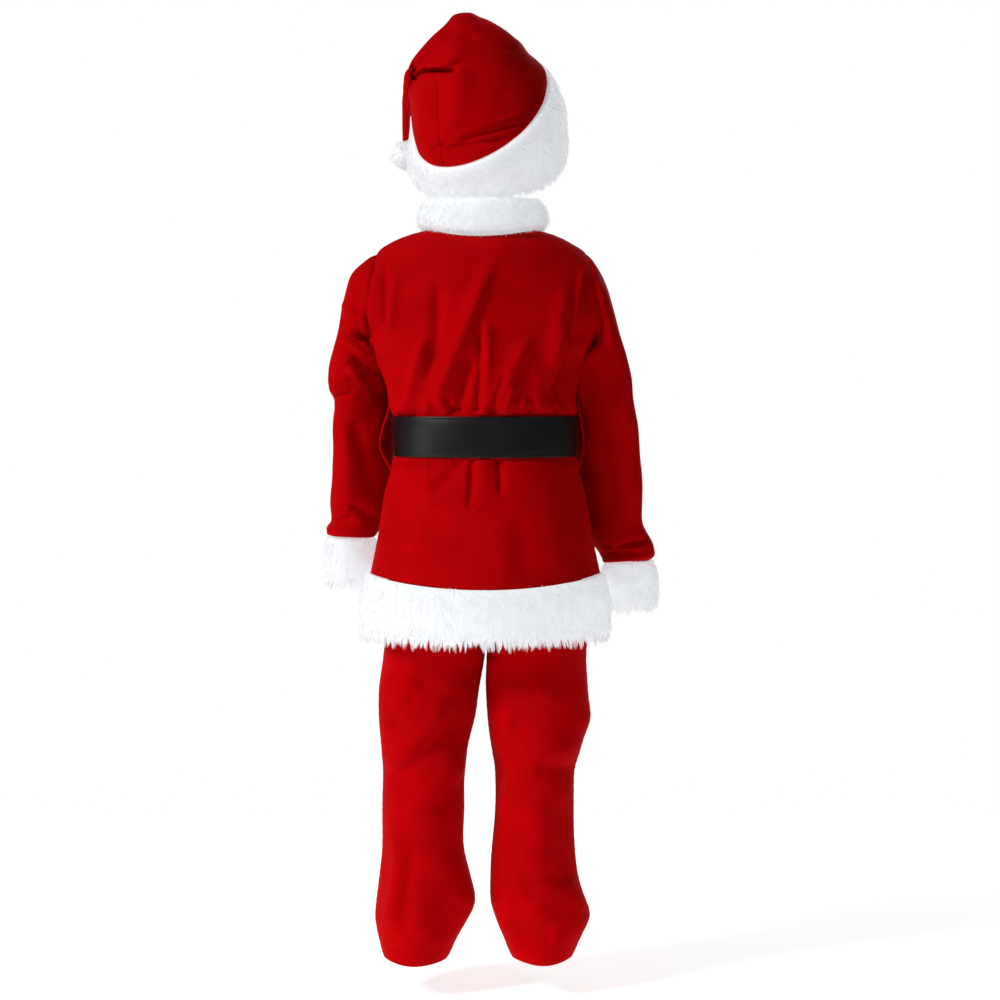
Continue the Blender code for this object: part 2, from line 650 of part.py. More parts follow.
def make_hat():
    outer, inner = hat_surface(0), hat_surface(CLOTH)
    for name, start in (("hat_right", HAT_SEAM - 180), ("hat_left", HAT_SEAM)):
        columns = [start + 180 * k / HAT_STEPS for k in range(HAT_STEPS + 1)]
        grids = [np.array([[surface(row, column) for column in columns] for row in range(len(HAT))])
                 for surface in (outer, inner)]
        make_wall(name, draw_in(grids[0], HAT_SEAM_GAP, (True, True)),
                  draw_in(grids[1], HAT_SEAM_GAP, (True, True)), "velour")

    edge = np.array([outer(0, 360 * k / BRIM_STEPS) for k in range(BRIM_STEPS)])
    turns = np.vstack((BRIM_LOW, BRIM_LOW, BRIM_LOW))
    corners = len(BRIM_LOW)
    low = np.array([section(turns, corners * (1 + k / BRIM_STEPS)) for k in range(BRIM_STEPS)])
    down = low - edge
    down /= np.linalg.norm(down, axis=1, keepdims=True)
    outward = np.cross(np.roll(edge, -1, axis=0) - np.roll(edge, 1, axis=0), down)
    outward /= np.linalg.norm(outward, axis=1, keepdims=True)
    outward *= np.sign(((edge - edge.mean(axis=0)) * outward).sum(axis=1, keepdims=True))
    make_fur_band("hat_brim_fur", edge + down * 2 * REST, low, FUR_BRIM, outward, BRIM_INSET)

    builder = bmesh.new()
    bmesh.ops.create_uvsphere(builder, u_segments=POMPOM_CELLS[0], v_segments=POMPOM_CELLS[1],
                              radius=POMPOM_RADIUS)
    bmesh.ops.translate(builder, verts=builder.verts, vec=POMPOM_CENTRE)
    make_object("hat_pompom", builder, "fur")


def make_trousers():
    for name, table in TROUSERS.items():
        side = 1 if name == "left" else -1

        def axis(row, table=table, side=side):
            values = section(table, row)
            return np.array((side * (values[1] + values[2]) / 2 * values[0], values[6], values[3]))
        rows = list(range(len(table)))
        columns = [k / LEG_STEPS for k in range(LEG_STEPS + 1)]
        for face, panel in ((1, "back"), (-1, "front")):
            make_panel("trouser_%s_%s" % (panel, name), trouser_surface(name, face), rows, columns,
                       axis)

    band = []
    for row_z in (0, WAISTBAND_HEIGHT):
        ring = jacket_loop(WAIST)[:-1]
        out = loop_outward(ring, np.array((0.0, 0.0, 1.0)))
        ring = ring - out * (CLOTH + REST)
        ring[:, 2] = TROUSERS["left"][0, 3] + REST + row_z
        band.append((ring, ring - out * WAISTBAND_WALL))
    make_wall("waistband", np.array([ring for ring, _ in reversed(band)]),
              np.array([ring for _, ring in reversed(band)]), "elastic", ring=True)


def belt_lines():
    """Inner line of the belt and its outward directions, from under the bar round to the free end."""
    front, back = jacket_surface(-1), jacket_surface(1)
    shares = np.linspace(0, 1, LOOP_SAMPLES)
    loop = np.array([front(WAIST, -c) for c in shares] + [back(WAIST, c - 1) for c in shares[1:]]
                    + [back(WAIST, c) for c in shares[1:]] + [front(WAIST, 1 - c) for c in shares[1:]])
    lengths = np.concatenate(([0], np.cumsum(np.linalg.norm(np.diff(loop, axis=0), axis=1))))
    total = lengths[-1]

    def at(distance):
        distance = distance % total
        return np.array([np.interp(distance, lengths, loop[:, axis]) for axis in range(3)])
    stations = list(np.linspace(BELT_START, total - LIFT_RUN - 10, BELT_STATIONS[0]))
    stations += list(np.linspace(total - LIFT_RUN, total + LAP, BELT_STATIONS[1]))
    line, out = [], []
    for distance in stations:
        here, before, after = at(distance), at(distance - 4), at(distance + 4)
        across = np.array((after[1] - before[1], before[0] - after[0], 0.0))
        across /= np.linalg.norm(across)
        across *= math.copysign(1.0, float(across @ (here * (1, 1, 0))))
        rise = LIFT * ease((distance - total + LIFT_RUN) / (LIFT_RUN - LIFT_END))
        rise -= (LIFT - BELT_WALL - REST) * ease((distance - total - FALL_START) / FALL_RUN)
        line.append(here + across * (BELT_GAP + rise))
        out.append(across)
    return np.array(line), np.array(out)


def make_belt():
    line, out = belt_lines()
    outer, inner = [], []
    for level in (BELT_WIDTH / 2, -BELT_WIDTH / 2):
        shifted = line.copy()
        shifted[:, 2] = BELT_Z + level
        inner.append(shifted)
        outer.append(shifted + out * BELT_WALL)
    make_wall("belt", np.array(outer), np.array(inner), "belt")


def add_box(builder, centre, size):
    made = bmesh.ops.create_cube(builder, size=1.0)["verts"]
    bmesh.ops.scale(builder, vec=size, verts=made)
    bmesh.ops.translate(builder, vec=centre, verts=made)


def make_buckle():
    """A slide buckle: a flat frame before the belt and a bar behind the belt's free end."""
    front = -(abs(section(JACKET, WAIST)[2]) + BELT_GAP + LIFT + BELT_WALL + REST)
    bar_back = -(abs(section(JACKET, WAIST)[2]) + BELT_GAP + BELT_WALL + REST)
    frame = bmesh.new()
    outline = ((BUCKLE_HALF_WIDTH, BUCKLE_HALF_HEIGHT),
               (BUCKLE_HALF_WIDTH - BUCKLE_RAIL, BUCKLE_HALF_HEIGHT - BUCKLE_RAIL))
    depths = (front, front - BUCKLE_THICK)
    rings = []
    for half_width, half_height in outline:
        for y in depths:
            corners = ((half_width, half_height), (-half_width, half_height),
                       (-half_width, -half_height), (half_width, -half_height))
            rings.append([frame.verts.new((x, y, BELT_Z + z)) for x, z in corners])
    for first, second in ((0, 1), (1, 3), (3, 2), (2, 0)):
        stitch(frame, rings[first], rings[second], closed=True)
    item = make_object("buckle", frame, "buckle")

    tools = []
    bar = bmesh.new()
    height = 2 * BUCKLE_HALF_HEIGHT - BUCKLE_RAIL
    add_box(bar, (0.0, bar_back - BAR_WALL / 2, BELT_Z), (BAR_WIDTH, BAR_WALL, height))
    tools.append(make_object("bar_cutter", bar, "buckle"))
    for level in (1, -1):
        foot = bmesh.new()
        depth = bar_back - front + BUCKLE_THICK / 2
        foot_z = BELT_Z + level * (BUCKLE_HALF_HEIGHT - BAR_FOOT_INSET)
        add_box(foot, (0.0, bar_back - depth / 2, foot_z), (BAR_WIDTH, depth, BAR_WIDTH))
        tools.append(make_object("foot_cutter_%d" % level, foot, "buckle"))
    for tool in tools:
        tool.hide_render = True
        tool.display_type = "WIRE"
        join = item.modifiers.new(tool.name, "BOOLEAN")
        join.operation = "UNION"
        join.solver = "EXACT"
        join.object = tool
    bevel = item.modifiers.new("edge", "BEVEL")
    bevel.width = BUCKLE_BEVEL * MM
    bevel.segments = 1
    bevel.limit_method = "ANGLE"
    bevel.angle_limit = math.radians(40)


def make_loops():
    """Belt loops: strips that stand off the belt at the side seams, ends on the jacket."""
    for name, side, share in LOOP_STAND_OFF:
        outer, inner = [], []
        path = []
        for stand_off, z in LOOP_RUN:
            row = np.interp(-z, -JACKET[:, 5], np.arange(len(JACKET)))
            ground = abs(jacket_surface(1)(row, side)[0])
            belt_out = section(JACKET, WAIST)[4] + BELT_GAP + BELT_WALL
            reach = max(ground + REST / 2, belt_out + REST) if stand_off < LOOP_REST else belt_out
            path.append((reach + stand_off * share, z))
        path = np.array(path)
        normals = []
        for k in range(len(path)):
            run = path[min(k + 1, len(path) - 1)] - path[max(k - 1, 0)]
            normals.append(np.array((-run[1], run[0])) / np.linalg.norm(run))
        for (x, z), (nx, nz) in zip(path, normals):
            inner.append([(side * x, y, z) for y in (-LOOP_WIDTH / 2, LOOP_WIDTH / 2)])
            outer.append([(side * (x + nx * LOOP_WALL), y, z + nz * LOOP_WALL)
                          for y in (-LOOP_WIDTH / 2, LOOP_WIDTH / 2)])
        make_wall("belt_loop_" + name, np.array(outer), np.array(inner), "velour")


clear_scene()
make_hat()
make_jacket()
make_sleeves()
make_jacket_fur()
make_belt()
make_buckle()
make_loops()
make_trousers()
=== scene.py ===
"""Santa suit, child size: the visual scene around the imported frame.

Tables are in millimetres and meshes are made in metres. The wearer faces -Y and their left is +X,
so the camera, behind the suit, has +X on its left.
"""
import math

import bpy
import numpy as np
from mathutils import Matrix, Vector, kdtree, noise


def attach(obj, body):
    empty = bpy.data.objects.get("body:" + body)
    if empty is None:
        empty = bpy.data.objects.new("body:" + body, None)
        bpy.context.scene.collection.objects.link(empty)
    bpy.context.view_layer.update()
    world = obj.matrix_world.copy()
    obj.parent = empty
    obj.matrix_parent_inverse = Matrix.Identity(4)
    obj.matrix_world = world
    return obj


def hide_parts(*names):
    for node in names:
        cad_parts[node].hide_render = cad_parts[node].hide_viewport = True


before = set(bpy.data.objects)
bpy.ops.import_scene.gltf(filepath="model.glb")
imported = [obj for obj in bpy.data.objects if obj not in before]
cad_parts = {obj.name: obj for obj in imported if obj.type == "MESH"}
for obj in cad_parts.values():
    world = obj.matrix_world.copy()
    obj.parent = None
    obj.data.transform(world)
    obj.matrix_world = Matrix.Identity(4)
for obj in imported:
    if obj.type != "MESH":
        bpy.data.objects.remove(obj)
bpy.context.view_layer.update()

MM = 0.001
rng = np.random.default_rng(24)
SIDES = {"left": 1, "right": -1}
UP = np.array((0.0, 0.0, 1.0))

# Sections from the neckline to the hem. back and front are the centre lines; edge is the side
# line: shoulder seam to row TIP, armhole to row PIT, side seam below it. Columns:
# back_y, back_z, front_y, front_z, edge_x, edge_z, edge_back_y, edge_front_y, turn, lean
JACKET = np.array((
    (52, 2, -52, -22, 68, 12, 0, 0, 90, 3), (66, -12, -62, -32, 91, 6, 0, 0, 84, 5),
    (77, -28, -70, -44, 113, -4, 0, 0, 76, 5), (85, -46, -76, -58, 131, -18, 1, -1, 68, 4),
    (90, -66, -80, -74, 136, -46, 33, -23, 62, 3), (93, -88, -83, -93, 141, -75, 46, -32, 60, 3),
    (94, -111, -85, -114, 142, -104, 43, -30, 68, 3),
    (93, -135, -86, -136, 138, -131, 12, 8, 90, 3),
    (91, -161, -87, -161, 124.5, -156, 13, 13, 90, 6),
    (88, -184, -87, -184, 117, -182, 17, 17, 90, 5),
    (85, -204, -87, -204, 114, -204, 10, 10, 90, 2), (82, -219, -86, -219, 110, -219, 4, 4, 90, 0),
    (82, -245, -86, -245, 110, -245, 4, 4, 90, 0), (82, -271, -86, -271, 110, -271, 4, 4, 90, 0),
    (87, -284, -90, -284, 114.5, -284, 2, 2, 90, 0),
    (93, -308, -95, -306, 122.5, -306, 0, 0, 90, 0),
    (98, -340, -99, -338, 128.5, -335, 0, 0, 90, 0),
    (103, -379, -103, -376, 134.5, -370, 0, 0, 90, 0),
    (108, -428, -108, -424, 143, -415, 0, 0, 90, 0),
), float)
TIP, PIT, WAIST, HEM = 3, 7, 12, 18
# Rings from the armhole to the cuff seam: their outer and inner points seen from the front, the
# middle line in y, half their depth, how far their back part lies outside the front part:
# outer_x, outer_z, inner_x, inner_z, mid_y, half_depth, skew
SLEEVES = {"left": np.array((
    (140, -18, 145.5, -131, 6, 39, 0), (154, -28, 150, -137, 5, 40, 0),
    (167, -44, 149, -143, 4, 41, 1.5), (175, -72, 143, -150, 1.5, 43, 8),
    (181, -103, 132, -153, -2, 44, 11), (187, -133, 126, -164, -9, 44, 16),
    (194, -162, 120, -179, -17, 44, 18), (194, -186, 118, -194, -22, 43, 19),
    (188, -202, 116, -208, -25, 42, 19), (190, -226, 114, -229, -30, 41, 18),
    (191, -262, 115, -262, -36, 40, 17), (193, -298, 118, -298, -42, 39, 15),
    (196, -330, 122, -330, -48, 38, 12), (195, -352, 128, -352, -53, 36, 9),
    (199, -363, 134, -362, -56, 37, 6), (195, -372, 147, -374, -58, 28, 0),
), float), "right": np.array((
    (133, -18, 142.5, -131, 5.5, 39.5, 0), (144, -37, 144.5, -137, 5.5, 39.5, 0),
    (153, -60, 145.5, -143, 4.5, 40, 1.5), (160, -88, 138.5, -151, 2, 42.5, 5.5),
    (167, -118, 127, -157, -2.5, 44.5, 10), (175, -146, 117, -165, -9, 44, 16),
    (181.5, -172, 112, -182, -17, 44, 17), (184.5, -196, 108, -200, -22, 43, 18),
    (189.5, -226, 109, -226, -29, 42, 17), (193.5, -260, 110, -258, -35, 41, 16),
    (198, -292, 115, -290, -41, 40, 14), (199, -325, 120, -322, -47, 39, 12),
    (199.5, -352, 125, -352, -53, 38, 10), (204, -366, 130, -365, -56, 38, 8),
    (213, -383, 141, -382, -60, 38, 6), (214, -396, 152, -396, -63, 34, 3),
    (209, -404, 159, -405, -65, 27, 0),
), float)}
SLEEVE_FADE = 2.5    # rows over which the sleeve's rings leave the armhole's line
UNDER_ARM_FILL = {"left": 7.0, "right": 14.0}    # how far the sleeve bulges towards the body there
CUFF_LENGTH = 61
CUFF_FORWARD = 10
CUFF_TAPER = 0.94
# Rings from the brim over the peak and down the folded tail: their right and left points, the
# middle line in y, half their depth, how far the back lies below the middle:
# right_x, right_z, left_x, left_z, mid_y, half_depth, back_drop
HAT = np.array((
    (-78, 196, 86, 126, -10, 82, 66), (-76, 206, 92, 150, -10, 82.5, 57),
    (-70, 214, 93, 172, -11, 81, 50), (-62, 223, 92.5, 190, -12, 78, 43),
    (-48, 240, 88.5, 201.5, -14, 73, 35), (-26, 263, 86, 207, -16, 66, 25),
    (4, 281, 87, 210.5, -18, 57, 15), (34, 283, 88.5, 212.5, -21, 48, 7),
    (56, 266, 90.5, 213.5, -24, 41, 2), (77, 243, 93, 213, -27, 35, 0),
    (94, 223.5, 95.5, 210.5, -30, 31, 0), (104.5, 208, 96.8, 205.5, -33, 27, 0),
    (106, 191, 96, 191, -39, 22, 0), (105.5, 170, 95.5, 170, -48, 16, 0),
    (106, 150, 96, 150, -61, 10, 0), (106, 131.5, 98.5, 131.5, -75, 5, 0),
), float)
HAT_SEAM = 123    # degrees from the right by the back
HAT_PEAK = 7      # row
# Lower edge of the brim, every eighth of a turn from the right by the back: x, y, z
BRIM_LOW = np.array((
    (-92, -42, 112), (-73, 10, 70), (-8, 36, 56), (52, 16, 60), (79, -46, 88), (54, -103, 142),
    (-8, -126, 178), (-74, -101, 166),
), float)
POMPOM_RADIUS = 17.5
POMPOM_CENTRE = (103, -82, 114)
COLLAR_TOP = 49.2
COLLAR_FRONT_DIP = 22
COLLAR_TAPER = 0.95
HEM_HEIGHT = 86
HEM_FLARE = 1.015
# Sections from the waist to the hem. split is 0 where the two legs share one section and 1 where
# each leg is a tube of its own; lift raises the front of a section and lowers its back. Columns:
# split, side_x, inner_x, side_z, inner_z, lift, mid_y, back, front
HIPS = (
    (0, 105, 0, -264, -264, 0, 0, 78, 82), (0.03, 107, 0, -284, -284, 0, 0, 81, 84.5),
    (0.1, 114, 0, -312, -314, 0, 0, 88, 87), (0.2, 118, 0, -344, -348, 0, 0, 91, 87),
    (0.34, 121, 0, -376, -384, 0, 0, 91, 85),
)
CROTCH_Z = -470
TROUSERS = {"left": np.array((*HIPS,
    (0.55, 123.5, 0, -408, -420, 0, 0, 87, 80), (0.8, 125, 0, -438, -450, 0, 0, 80, 72),
    (1, 125, 0.6, -466, -470, 0, 0, 72, 65), (1, 125.5, 5, -494, -494, 0, 0, 66, 61),
    (1, 128, 8, -520, -520, 0, 0, 63, 59), (1, 132, 12.5, -560, -560, 0, 0, 62, 58),
    (1, 132, 15, -595, -595, 0, 1, 62, 57), (1, 128.5, 21.5, -635, -635, 0, 2, 61, 56),
    (1, 127, 25.5, -675, -675, 0, 3, 59, 56), (1, 127.5, 26.5, -715, -715, 0, 2, 58, 57),
    (1, 129, 26, -757, -757, 0, 0, 58, 58), (1, 132.5, 18, -792, -792, 2, -2, 59, 60),
    (1, 137, 12.5, -824, -824, 5, -4, 60, 63), (1, 138.5, 21, -845, -845, 9, -5, 60, 66),
    (1, 135.5, 33, -865, -865, 13, -6, 59, 67), (1, 130.5, 43, -882, -882, 14, -6, 58, 66),
), float), "right": np.array((*HIPS,
    (0.55, 124, 0, -408, -420, 0, 0, 87, 80), (0.8, 126, 0, -438, -450, 0, 0, 80, 72),
    (1, 127, 0.6, -466, -470, 0, 0, 72, 65), (1, 127.5, 2.5, -494, -494, 0, 0, 67, 61),
    (1, 127.5, 2.5, -520, -520, 0, -1, 64, 60), (1, 129, 1.5, -560, -560, 0, -2, 64, 60),
    (1, 128, 3, -595, -595, 0, -3, 63, 59), (1, 121, 8, -635, -635, 0, -4, 61, 58),
    (1, 113, 12.5, -668, -668, 0, -4, 59, 58), (1, 111.5, 13, -710, -710, 0, -4, 58, 58),
    (1, 113, 9.5, -752, -752, 0, -5, 58, 59), (1, 117, 6.5, -790, -790, 2, -7, 60, 61),
    (1, 126, 6.5, -822, -822, 5, -9, 61, 64), (1, 131.5, 12, -843, -843, 9, -10, 61, 67),
    (1, 122, 21, -863, -863, 13, -11, 60, 68), (1, 112, 31, -882, -882, 14, -11, 58, 67),
), float)}
ELASTIC_HEIGHT = 33
BELT_WIDTH = 50
BELT_WALL = 2.4
BELT_Z = -245
BELT_GAP = 0.95    # between the jacket and the belt
LAP = 66           # of the belt's free end, which lifts over the buckle and falls back
LIFT = 5.9
LIFT_RUN = 45
LIFT_END = 12
FALL_START = 10
FALL_RUN = 24
REST = 0.45        # between pieces that lie on each other
LOOP_WIDTH = 11
# A belt loop's line as stand-off and z, and the share of the stand-offs that each loop takes
LOOP_SHARES = {"left": 0.84, "right": 0.42}
LOOP_RUN = (
    (0, -203), (5.5, -211), (9, -221), (14, -233), (18, -246), (19, -257), (15.5, -267), (9, -277),
    (0, -286),
)
FLOOR_Z = -937.5
FLOOR_HALF = 1250.0
# The camera looks along -Y. FRAME_WIDTH is what the picture spans at the origin, and FRAME_DROP
# how far its middle lies below the camera's axis.
CAMERA_Y = 3000
FRAME_WIDTH = 1250
CAMERA_X, CAMERA_Z = -18.75, -187.5
FRAME_DROP = 137.5
# Name, place and target in metres, size in metres, watts
LIGHTS = (
    ("key", (2.8, 1.9, 1.8), (0, 0, -0.3), 1.0, 106),
    ("key_low", (2.9, 1.2, -0.7), (0, 0, -0.3), 0.8, 13),
    ("fill_back", (-0.5, 3.7, 0.2), (0, 0, -0.3), 1.4, 3.5),
    ("fill_high", (-2.4, 1.5, 2.0), (0, 0, 0.0), 1.2, 7),
    ("front_left", (-1.4, -3.2, 1.0), (0, 0, -0.3), 1.8, 44),
    ("front_right", (1.8, -3.0, 0.2), (0, 0, -0.3), 2.2, 14),
)

# Creases seen from the back or the front: x and z of both ends, half width on the left or upper
# side and on the other, height, which is negative for a trough, the share of the run over which its
# start fades in (CREASE_FADE where left out), and how far the run bows towards +X, or down where
# it lies flat (0 where left out).
CREASE_FADE = 0.3
BACK_CREASES = (
    (59, -200, -11, -27, 11, 9, 8.5, 0.15), (8, -214, 8, -110, 5, 7, -8.5, 0.05, -4),
    (32, -217, 13, -141, 8, 6, -7, 0.05), (4, -217, -3, -105, 5, 8, 7.5, 0.05),
    (-9, -207, -54, -124, 8, 9, 6, 0.2), (-7, -215, -26, -166, 4, 5, -5, 0.05),
    (-22, -217, -35, -180, 4, 6, 5, 0.05), (-68, -215, -59, -139, 10, 12, 4, 0.1),
    (-81, -156, -101, -56, 10, 10, 5), (97, -211, 73, -124, 6, 9, 8.5, 0.05),
    (59, -161, 56, -52, 8, 8, -6), (69, -173, 65, -124, 6, 6, -4), (116, -112, 109, -44, 6, 7, 5),
    (122, -107, 124, -30, 5, 5, -5), (122, -188, 100, -214, 4, 4, 6, 0.2, 4),
    (118, -202, 109, -215, 3, 3, -4, 0.1), (72, -217, 67, -195, 3, 4, 3.5, 0.02),
    (47, -217, 53, -197, 4, 3, 3.5, 0.02), (38, -217, 46, -195, 3, 3, -3.5, 0.02),
    (-43, -215, -49, -192, 4, 4, 3.5, 0.02), (-55, -215, -59, -197, 3, 3, -3, 0.02),
    (-87, -214, -82, -188, 4, 4, -3.5, 0.02), (-109, -103, -121, -39, 4, 7, 3.5),
    (16, -271, 20, -332, 2.6, 6, -5.5, 0.02), (-16, -271, -19, -316, 2.6, 5.5, -5, 0.02),
    (-108, -116, -84, -188, 2.5, 12, -11, 0.25), (-102, -112, -77, -184, 14, 2.5, 8),
    (-88, -180, -100, -213, 6, 6, -7, 0.2), (1, -272, 1, -306, 8, 8, 2.5, 0.02),
    (26, -272, 67, -319, 8, 8, -3.5, 0.02), (42, -272, 75, -311, 6, 9, 2.5, 0.02),
    (70, -272, 71, -311, 3, 4, 2, 0.02), (-77, -306, -92, -420, 14, 14, 2.5, 0.2),
    (-43, -345, -53, -425, 12, 12, -2), (-19, -428, -26, -376, 10, 10, 1.5, 0.1),
    (114, -282, 129, -400, 10, 10, 3.5, 0.2), (88, -321, 98, -412, 14, 12, -2),
)
FRONT_CREASES = (
    (33, -217, 41, -128, 9, 7, 6, 0.05, 2), (8, -216, 15, -150, 5, 6, 4.5, 0.05, -3),
    (-29, -217, -40, -118, 8, 9, 6, 0.05, 2), (-10, -216, -17, -160, 5, 6, 4.5, 0.05, 2),
    (56, -215, 76, -146, 9, 7, 4.5, 0.05, 3), (-60, -216, -78, -150, 7, 9, 4.5, 0.05, -3),
    (47, -214, 58, -158, 6, 6, -4, 0.05), (-46, -214, -58, -166, 6, 6, -4, 0.05),
    (84, -212, 96, -172, 6, 5, -4.5, 0.1), (-86, -212, -97, -168, 5, 6, -4.5, 0.1),
    (88, -160, 112, -96, 9, 9, 4, 0.3, -4), (-86, -165, -110, -92, 9, 9, 4, 0.3, 4),
    (112, -120, 120, -52, 5, 6, -4), (-106, -118, -116, -48, 6, 5, -4),
    (40, -272, 44, -312, 3.5, 3.5, -7, 0.02), (-42, -272, -40, -309, 3.5, 3.5, -7, 0.02),
    (66, -272, 78, -306, 4, 5, -4, 0.02), (-70, -272, -80, -312, 5, 4, -4, 0.02),
    (84, -300, 92, -400, 14, 14, 3, 0.2), (-80, -300, -92, -396, 14, 14, 3, 0.2),
    (30, -340, 34, -420, 12, 12, -2), (-34, -330, -40, -420, 12, 12, -2),
)
SLEEVE_CREASES = {"left": (
    (176, -84, 131, -121, 11, 2.5, 5.5, 0.4), (179, -98, 131, -134, 2.5, 13, -11, 0.4),
    (176, -122, 140, -148, 7, 3, 4), (164, -146, 132, -168, 2.5, 9, -10, 0.25),
    (152, -164, 131, -207, 10, 8, -9, 0.2, -3), (167, -160, 138, -207, 7, 4, 5, 0.25, -4),
    (193, -197, 163, -189, 3, 4, -5.5, 0.1), (193, -180, 168, -170, 6, 6, 3, 0.2),
    (162, -230, 137, -327, 10, 10, -5.5), (176, -237, 171, -331, 9, 9, 3),
    (168, -332, 136, -356, 7, 5, -5.5, 0.2), (196, -364, 136, -369, 4, 4, 5, 0.05),
    (188, -352, 166, -347, 3, 4, -3, 0.2),
), "right": (
    (-131, -48, -146, -138, 3, 4, -7.5, 0.15), (-142, -58, -158, -140, 5, 9, 4),
    (-138, -95, -141, -143, 3, 3, 4), (-133, -120, -106, -178, 6, 8, -11.5, 0.2),
    (-120, -200, -135, -138, 3, 4, 5, 0.2), (-167, -168, -171, -237, 4, 6, 2.5),
    (-183, -225, -188, -325, 6, 8, 2.5), (-151, -237, -161, -349, 12, 12, -3),
    (-165, -386, -207, -376, 3, 3, -5.5, 0.15), (-141, -392, -196, -394, 3, 3, -6.5, 0.1),
    (-151, -387, -203, -386, 2.5, 2.5, 4, 0.2), (-143, -403, -209, -394, 3.5, 3, 5, 0.05),
)}
SLEEVE_FRONT_CREASES = {"left": (
    (172, -96, 138, -128, 9, 5, 4.5), (166, -128, 134, -160, 5, 8, -6, 0.25),
    (186, -178, 144, -206, 6, 6, 4.5, 0.25), (192, -206, 150, -196, 4, 5, -4.5, 0.2),
    (178, -236, 150, -300, 9, 9, -3), (160, -250, 144, -330, 9, 9, 3),
    (194, -350, 140, -352, 4, 4, -4, 0.15), (196, -362, 138, -364, 4, 4, 3, 0.1),
), "right": (
    (-160, -100, -130, -134, 9, 5, 4.5), (-150, -136, -122, -166, 5, 8, -6, 0.25),
    (-178, -186, -134, -208, 6, 6, 4.5, 0.25), (-184, -216, -140, -204, 4, 5, -4.5, 0.2),
    (-170, -246, -142, -318, 9, 9, -3), (-152, -262, -138, -340, 9, 9, 3),
    (-202, -376, -150, -382, 4, 4, -4, 0.15), (-206, -392, -152, -394, 4, 4, 3, 0.1),
)}
HAT_CREASES = (
    (87, 203, 70, 211, 2, 5, -11, 0.2, -2), (74, 210, 33, 206, 2, 5, -13, 0.1),
    (94, 208, 25, 221, 10, 2.5, 5, 0.1), (52, 257, 8, 247, 8, 10, -2.5),
    (41, 267, 6, 261, 6, 5, 2.5), (36, 226, -31, 217, 3, 3, 2, 0.2),
    (18, 234, -38, 227, 3, 4, 1.5), (40, 215, -19, 210, 4, 4, -1.5, 0.2),
    (28, 117, -51, 141, 3, 4, -4.5, 0.15), (33, 124, -46, 151, 4, 4, 2.5, 0.2),
    (47, 108, -36, 121, 3, 4, -4.5, 0.1), (67, 107, 47, 114, 4, 4, -5, 0.2),
    (30, 205, 46, 117, 13, 16, 5, 0.25), (74, 193, 79, 119, 9, 10, 2),
    (-19, 180, -37, 146, 14, 14, -2),
)
HAT_FRONT_CREASES = (
    (92, 200, 52, 214, 3, 6, -6, 0.15, -4), (90, 212, 30, 224, 8, 3, 3.5, 0.2),
    (40, 250, -20, 246, 4, 6, -3), (-40, 232, 40, 226, 4, 5, 2.5), (-20, 236, 46, 242, 4, 4, -2.5),
)
# The fold's lower edge, drawn down over the slot under it
HAT_LIP = (
    (94, 205, 68, 216, 5, 2, 5, 0.1, -3), (70, 215, 33, 213, 5, 2, 5, 0.1),
)
LEG_CREASES = {"left": (
    (86, -546, 8, -529, 15, 20, -7), (116, -600, 84, -556, 9, 9, -4, 0.3, -3),
    (104, -590, 52, -574, 14, 14, 4, 0.3, 6), (116, -652, 36, -566, 17, 11, 7, 0.25),
    (112, -668, 30, -592, 9, 17, -5), (92, -706, 22, -640, 14, 12, 4.5),
    (60, -702, 14, -668, 10, 14, -3.5), (44, -560, 24, -640, 12, 16, -3),
    (106, -740, 122, -848, 9, 11, 6, 0.25, -5), (92, -760, 100, -850, 9, 9, -4, 0.25),
    (80, -790, 86, -860, 11, 14, 3.5), (40, -770, 22, -830, 13, 12, 2.5),
    (58, -860, 36, -812, 14, 14, -3), (112, -670, 110, -735, 15, 18, 2),
), "right": (
    (-26, -560, -100, -560, 18, 15, 4), (-30, -598, -112, -592, 15, 20, -8, 0.25),
    (-62, -628, -120, -628, 12, 12, 3), (-66, -648, -118, -660, 10, 14, -5),
    (-20, -634, -30, -566, 13, 12, 3.5), (-14, -690, -24, -640, 9, 9, -3),
    (-96, -700, -102, -815, 15, 16, -4.5), (-62, -690, -70, -800, 16, 14, 3),
    (-40, -858, -84, -852, 13, 14, -5), (-51, -806, -92, -780, 13, 13, -4.5),
    (-30, -790, -60, -750, 11, 12, 3), (-76, -845, -50, -805, 10, 12, 3.5, 0.25),
    (-100, -800, -126, -836, 10, 12, 4, 0.2), (-16, -815, -28, -865, 11, 11, 3),
    (-94, -504, -90, -552, 7, 9, 2.5, 0.1), (-10, -520, -4, -560, 9, 9, 2.5, 0.2),
)}
LEG_FRONT_CREASES = {"left": (
    (26, -540, 96, -566, 9, 12, -5, 0.2), (34, -574, 104, -590, 8, 8, 4.5),
    (106, -612, 44, -650, 5, 6, -4.5, 0.2), (112, -640, 50, -684, 7, 7, 4.5, 0.2),
    (46, -700, 58, -782, 8, 10, 4, 0.3, 2), (100, -730, 92, -806, 7, 8, -4, 0.3, -2),
    (118, -800, 60, -826, 7, 8, 5, 0.2), (112, -828, 52, -848, 5, 6, -5, 0.2),
    (104, -850, 56, -866, 6, 6, 4.5, 0.2),
), "right": (
    (-22, -548, -92, -560, 9, 12, -5, 0.2), (-28, -584, -96, -588, 8, 8, 4.5),
    (-98, -606, -34, -648, 6, 5, -4.5, 0.2), (-96, -636, -40, -676, 7, 7, 4.5, 0.2),
    (-34, -700, -44, -776, 10, 8, 4, 0.3, 2), (-86, -716, -78, -800, 8, 7, -4, 0.3, 2),
    (-106, -796, -36, -822, 7, 8, 5, 0.2), (-110, -826, -34, -846, 5, 6, -5, 0.2),
    (-96, -850, -40, -864, 6, 6, 4.5, 0.2),
)}
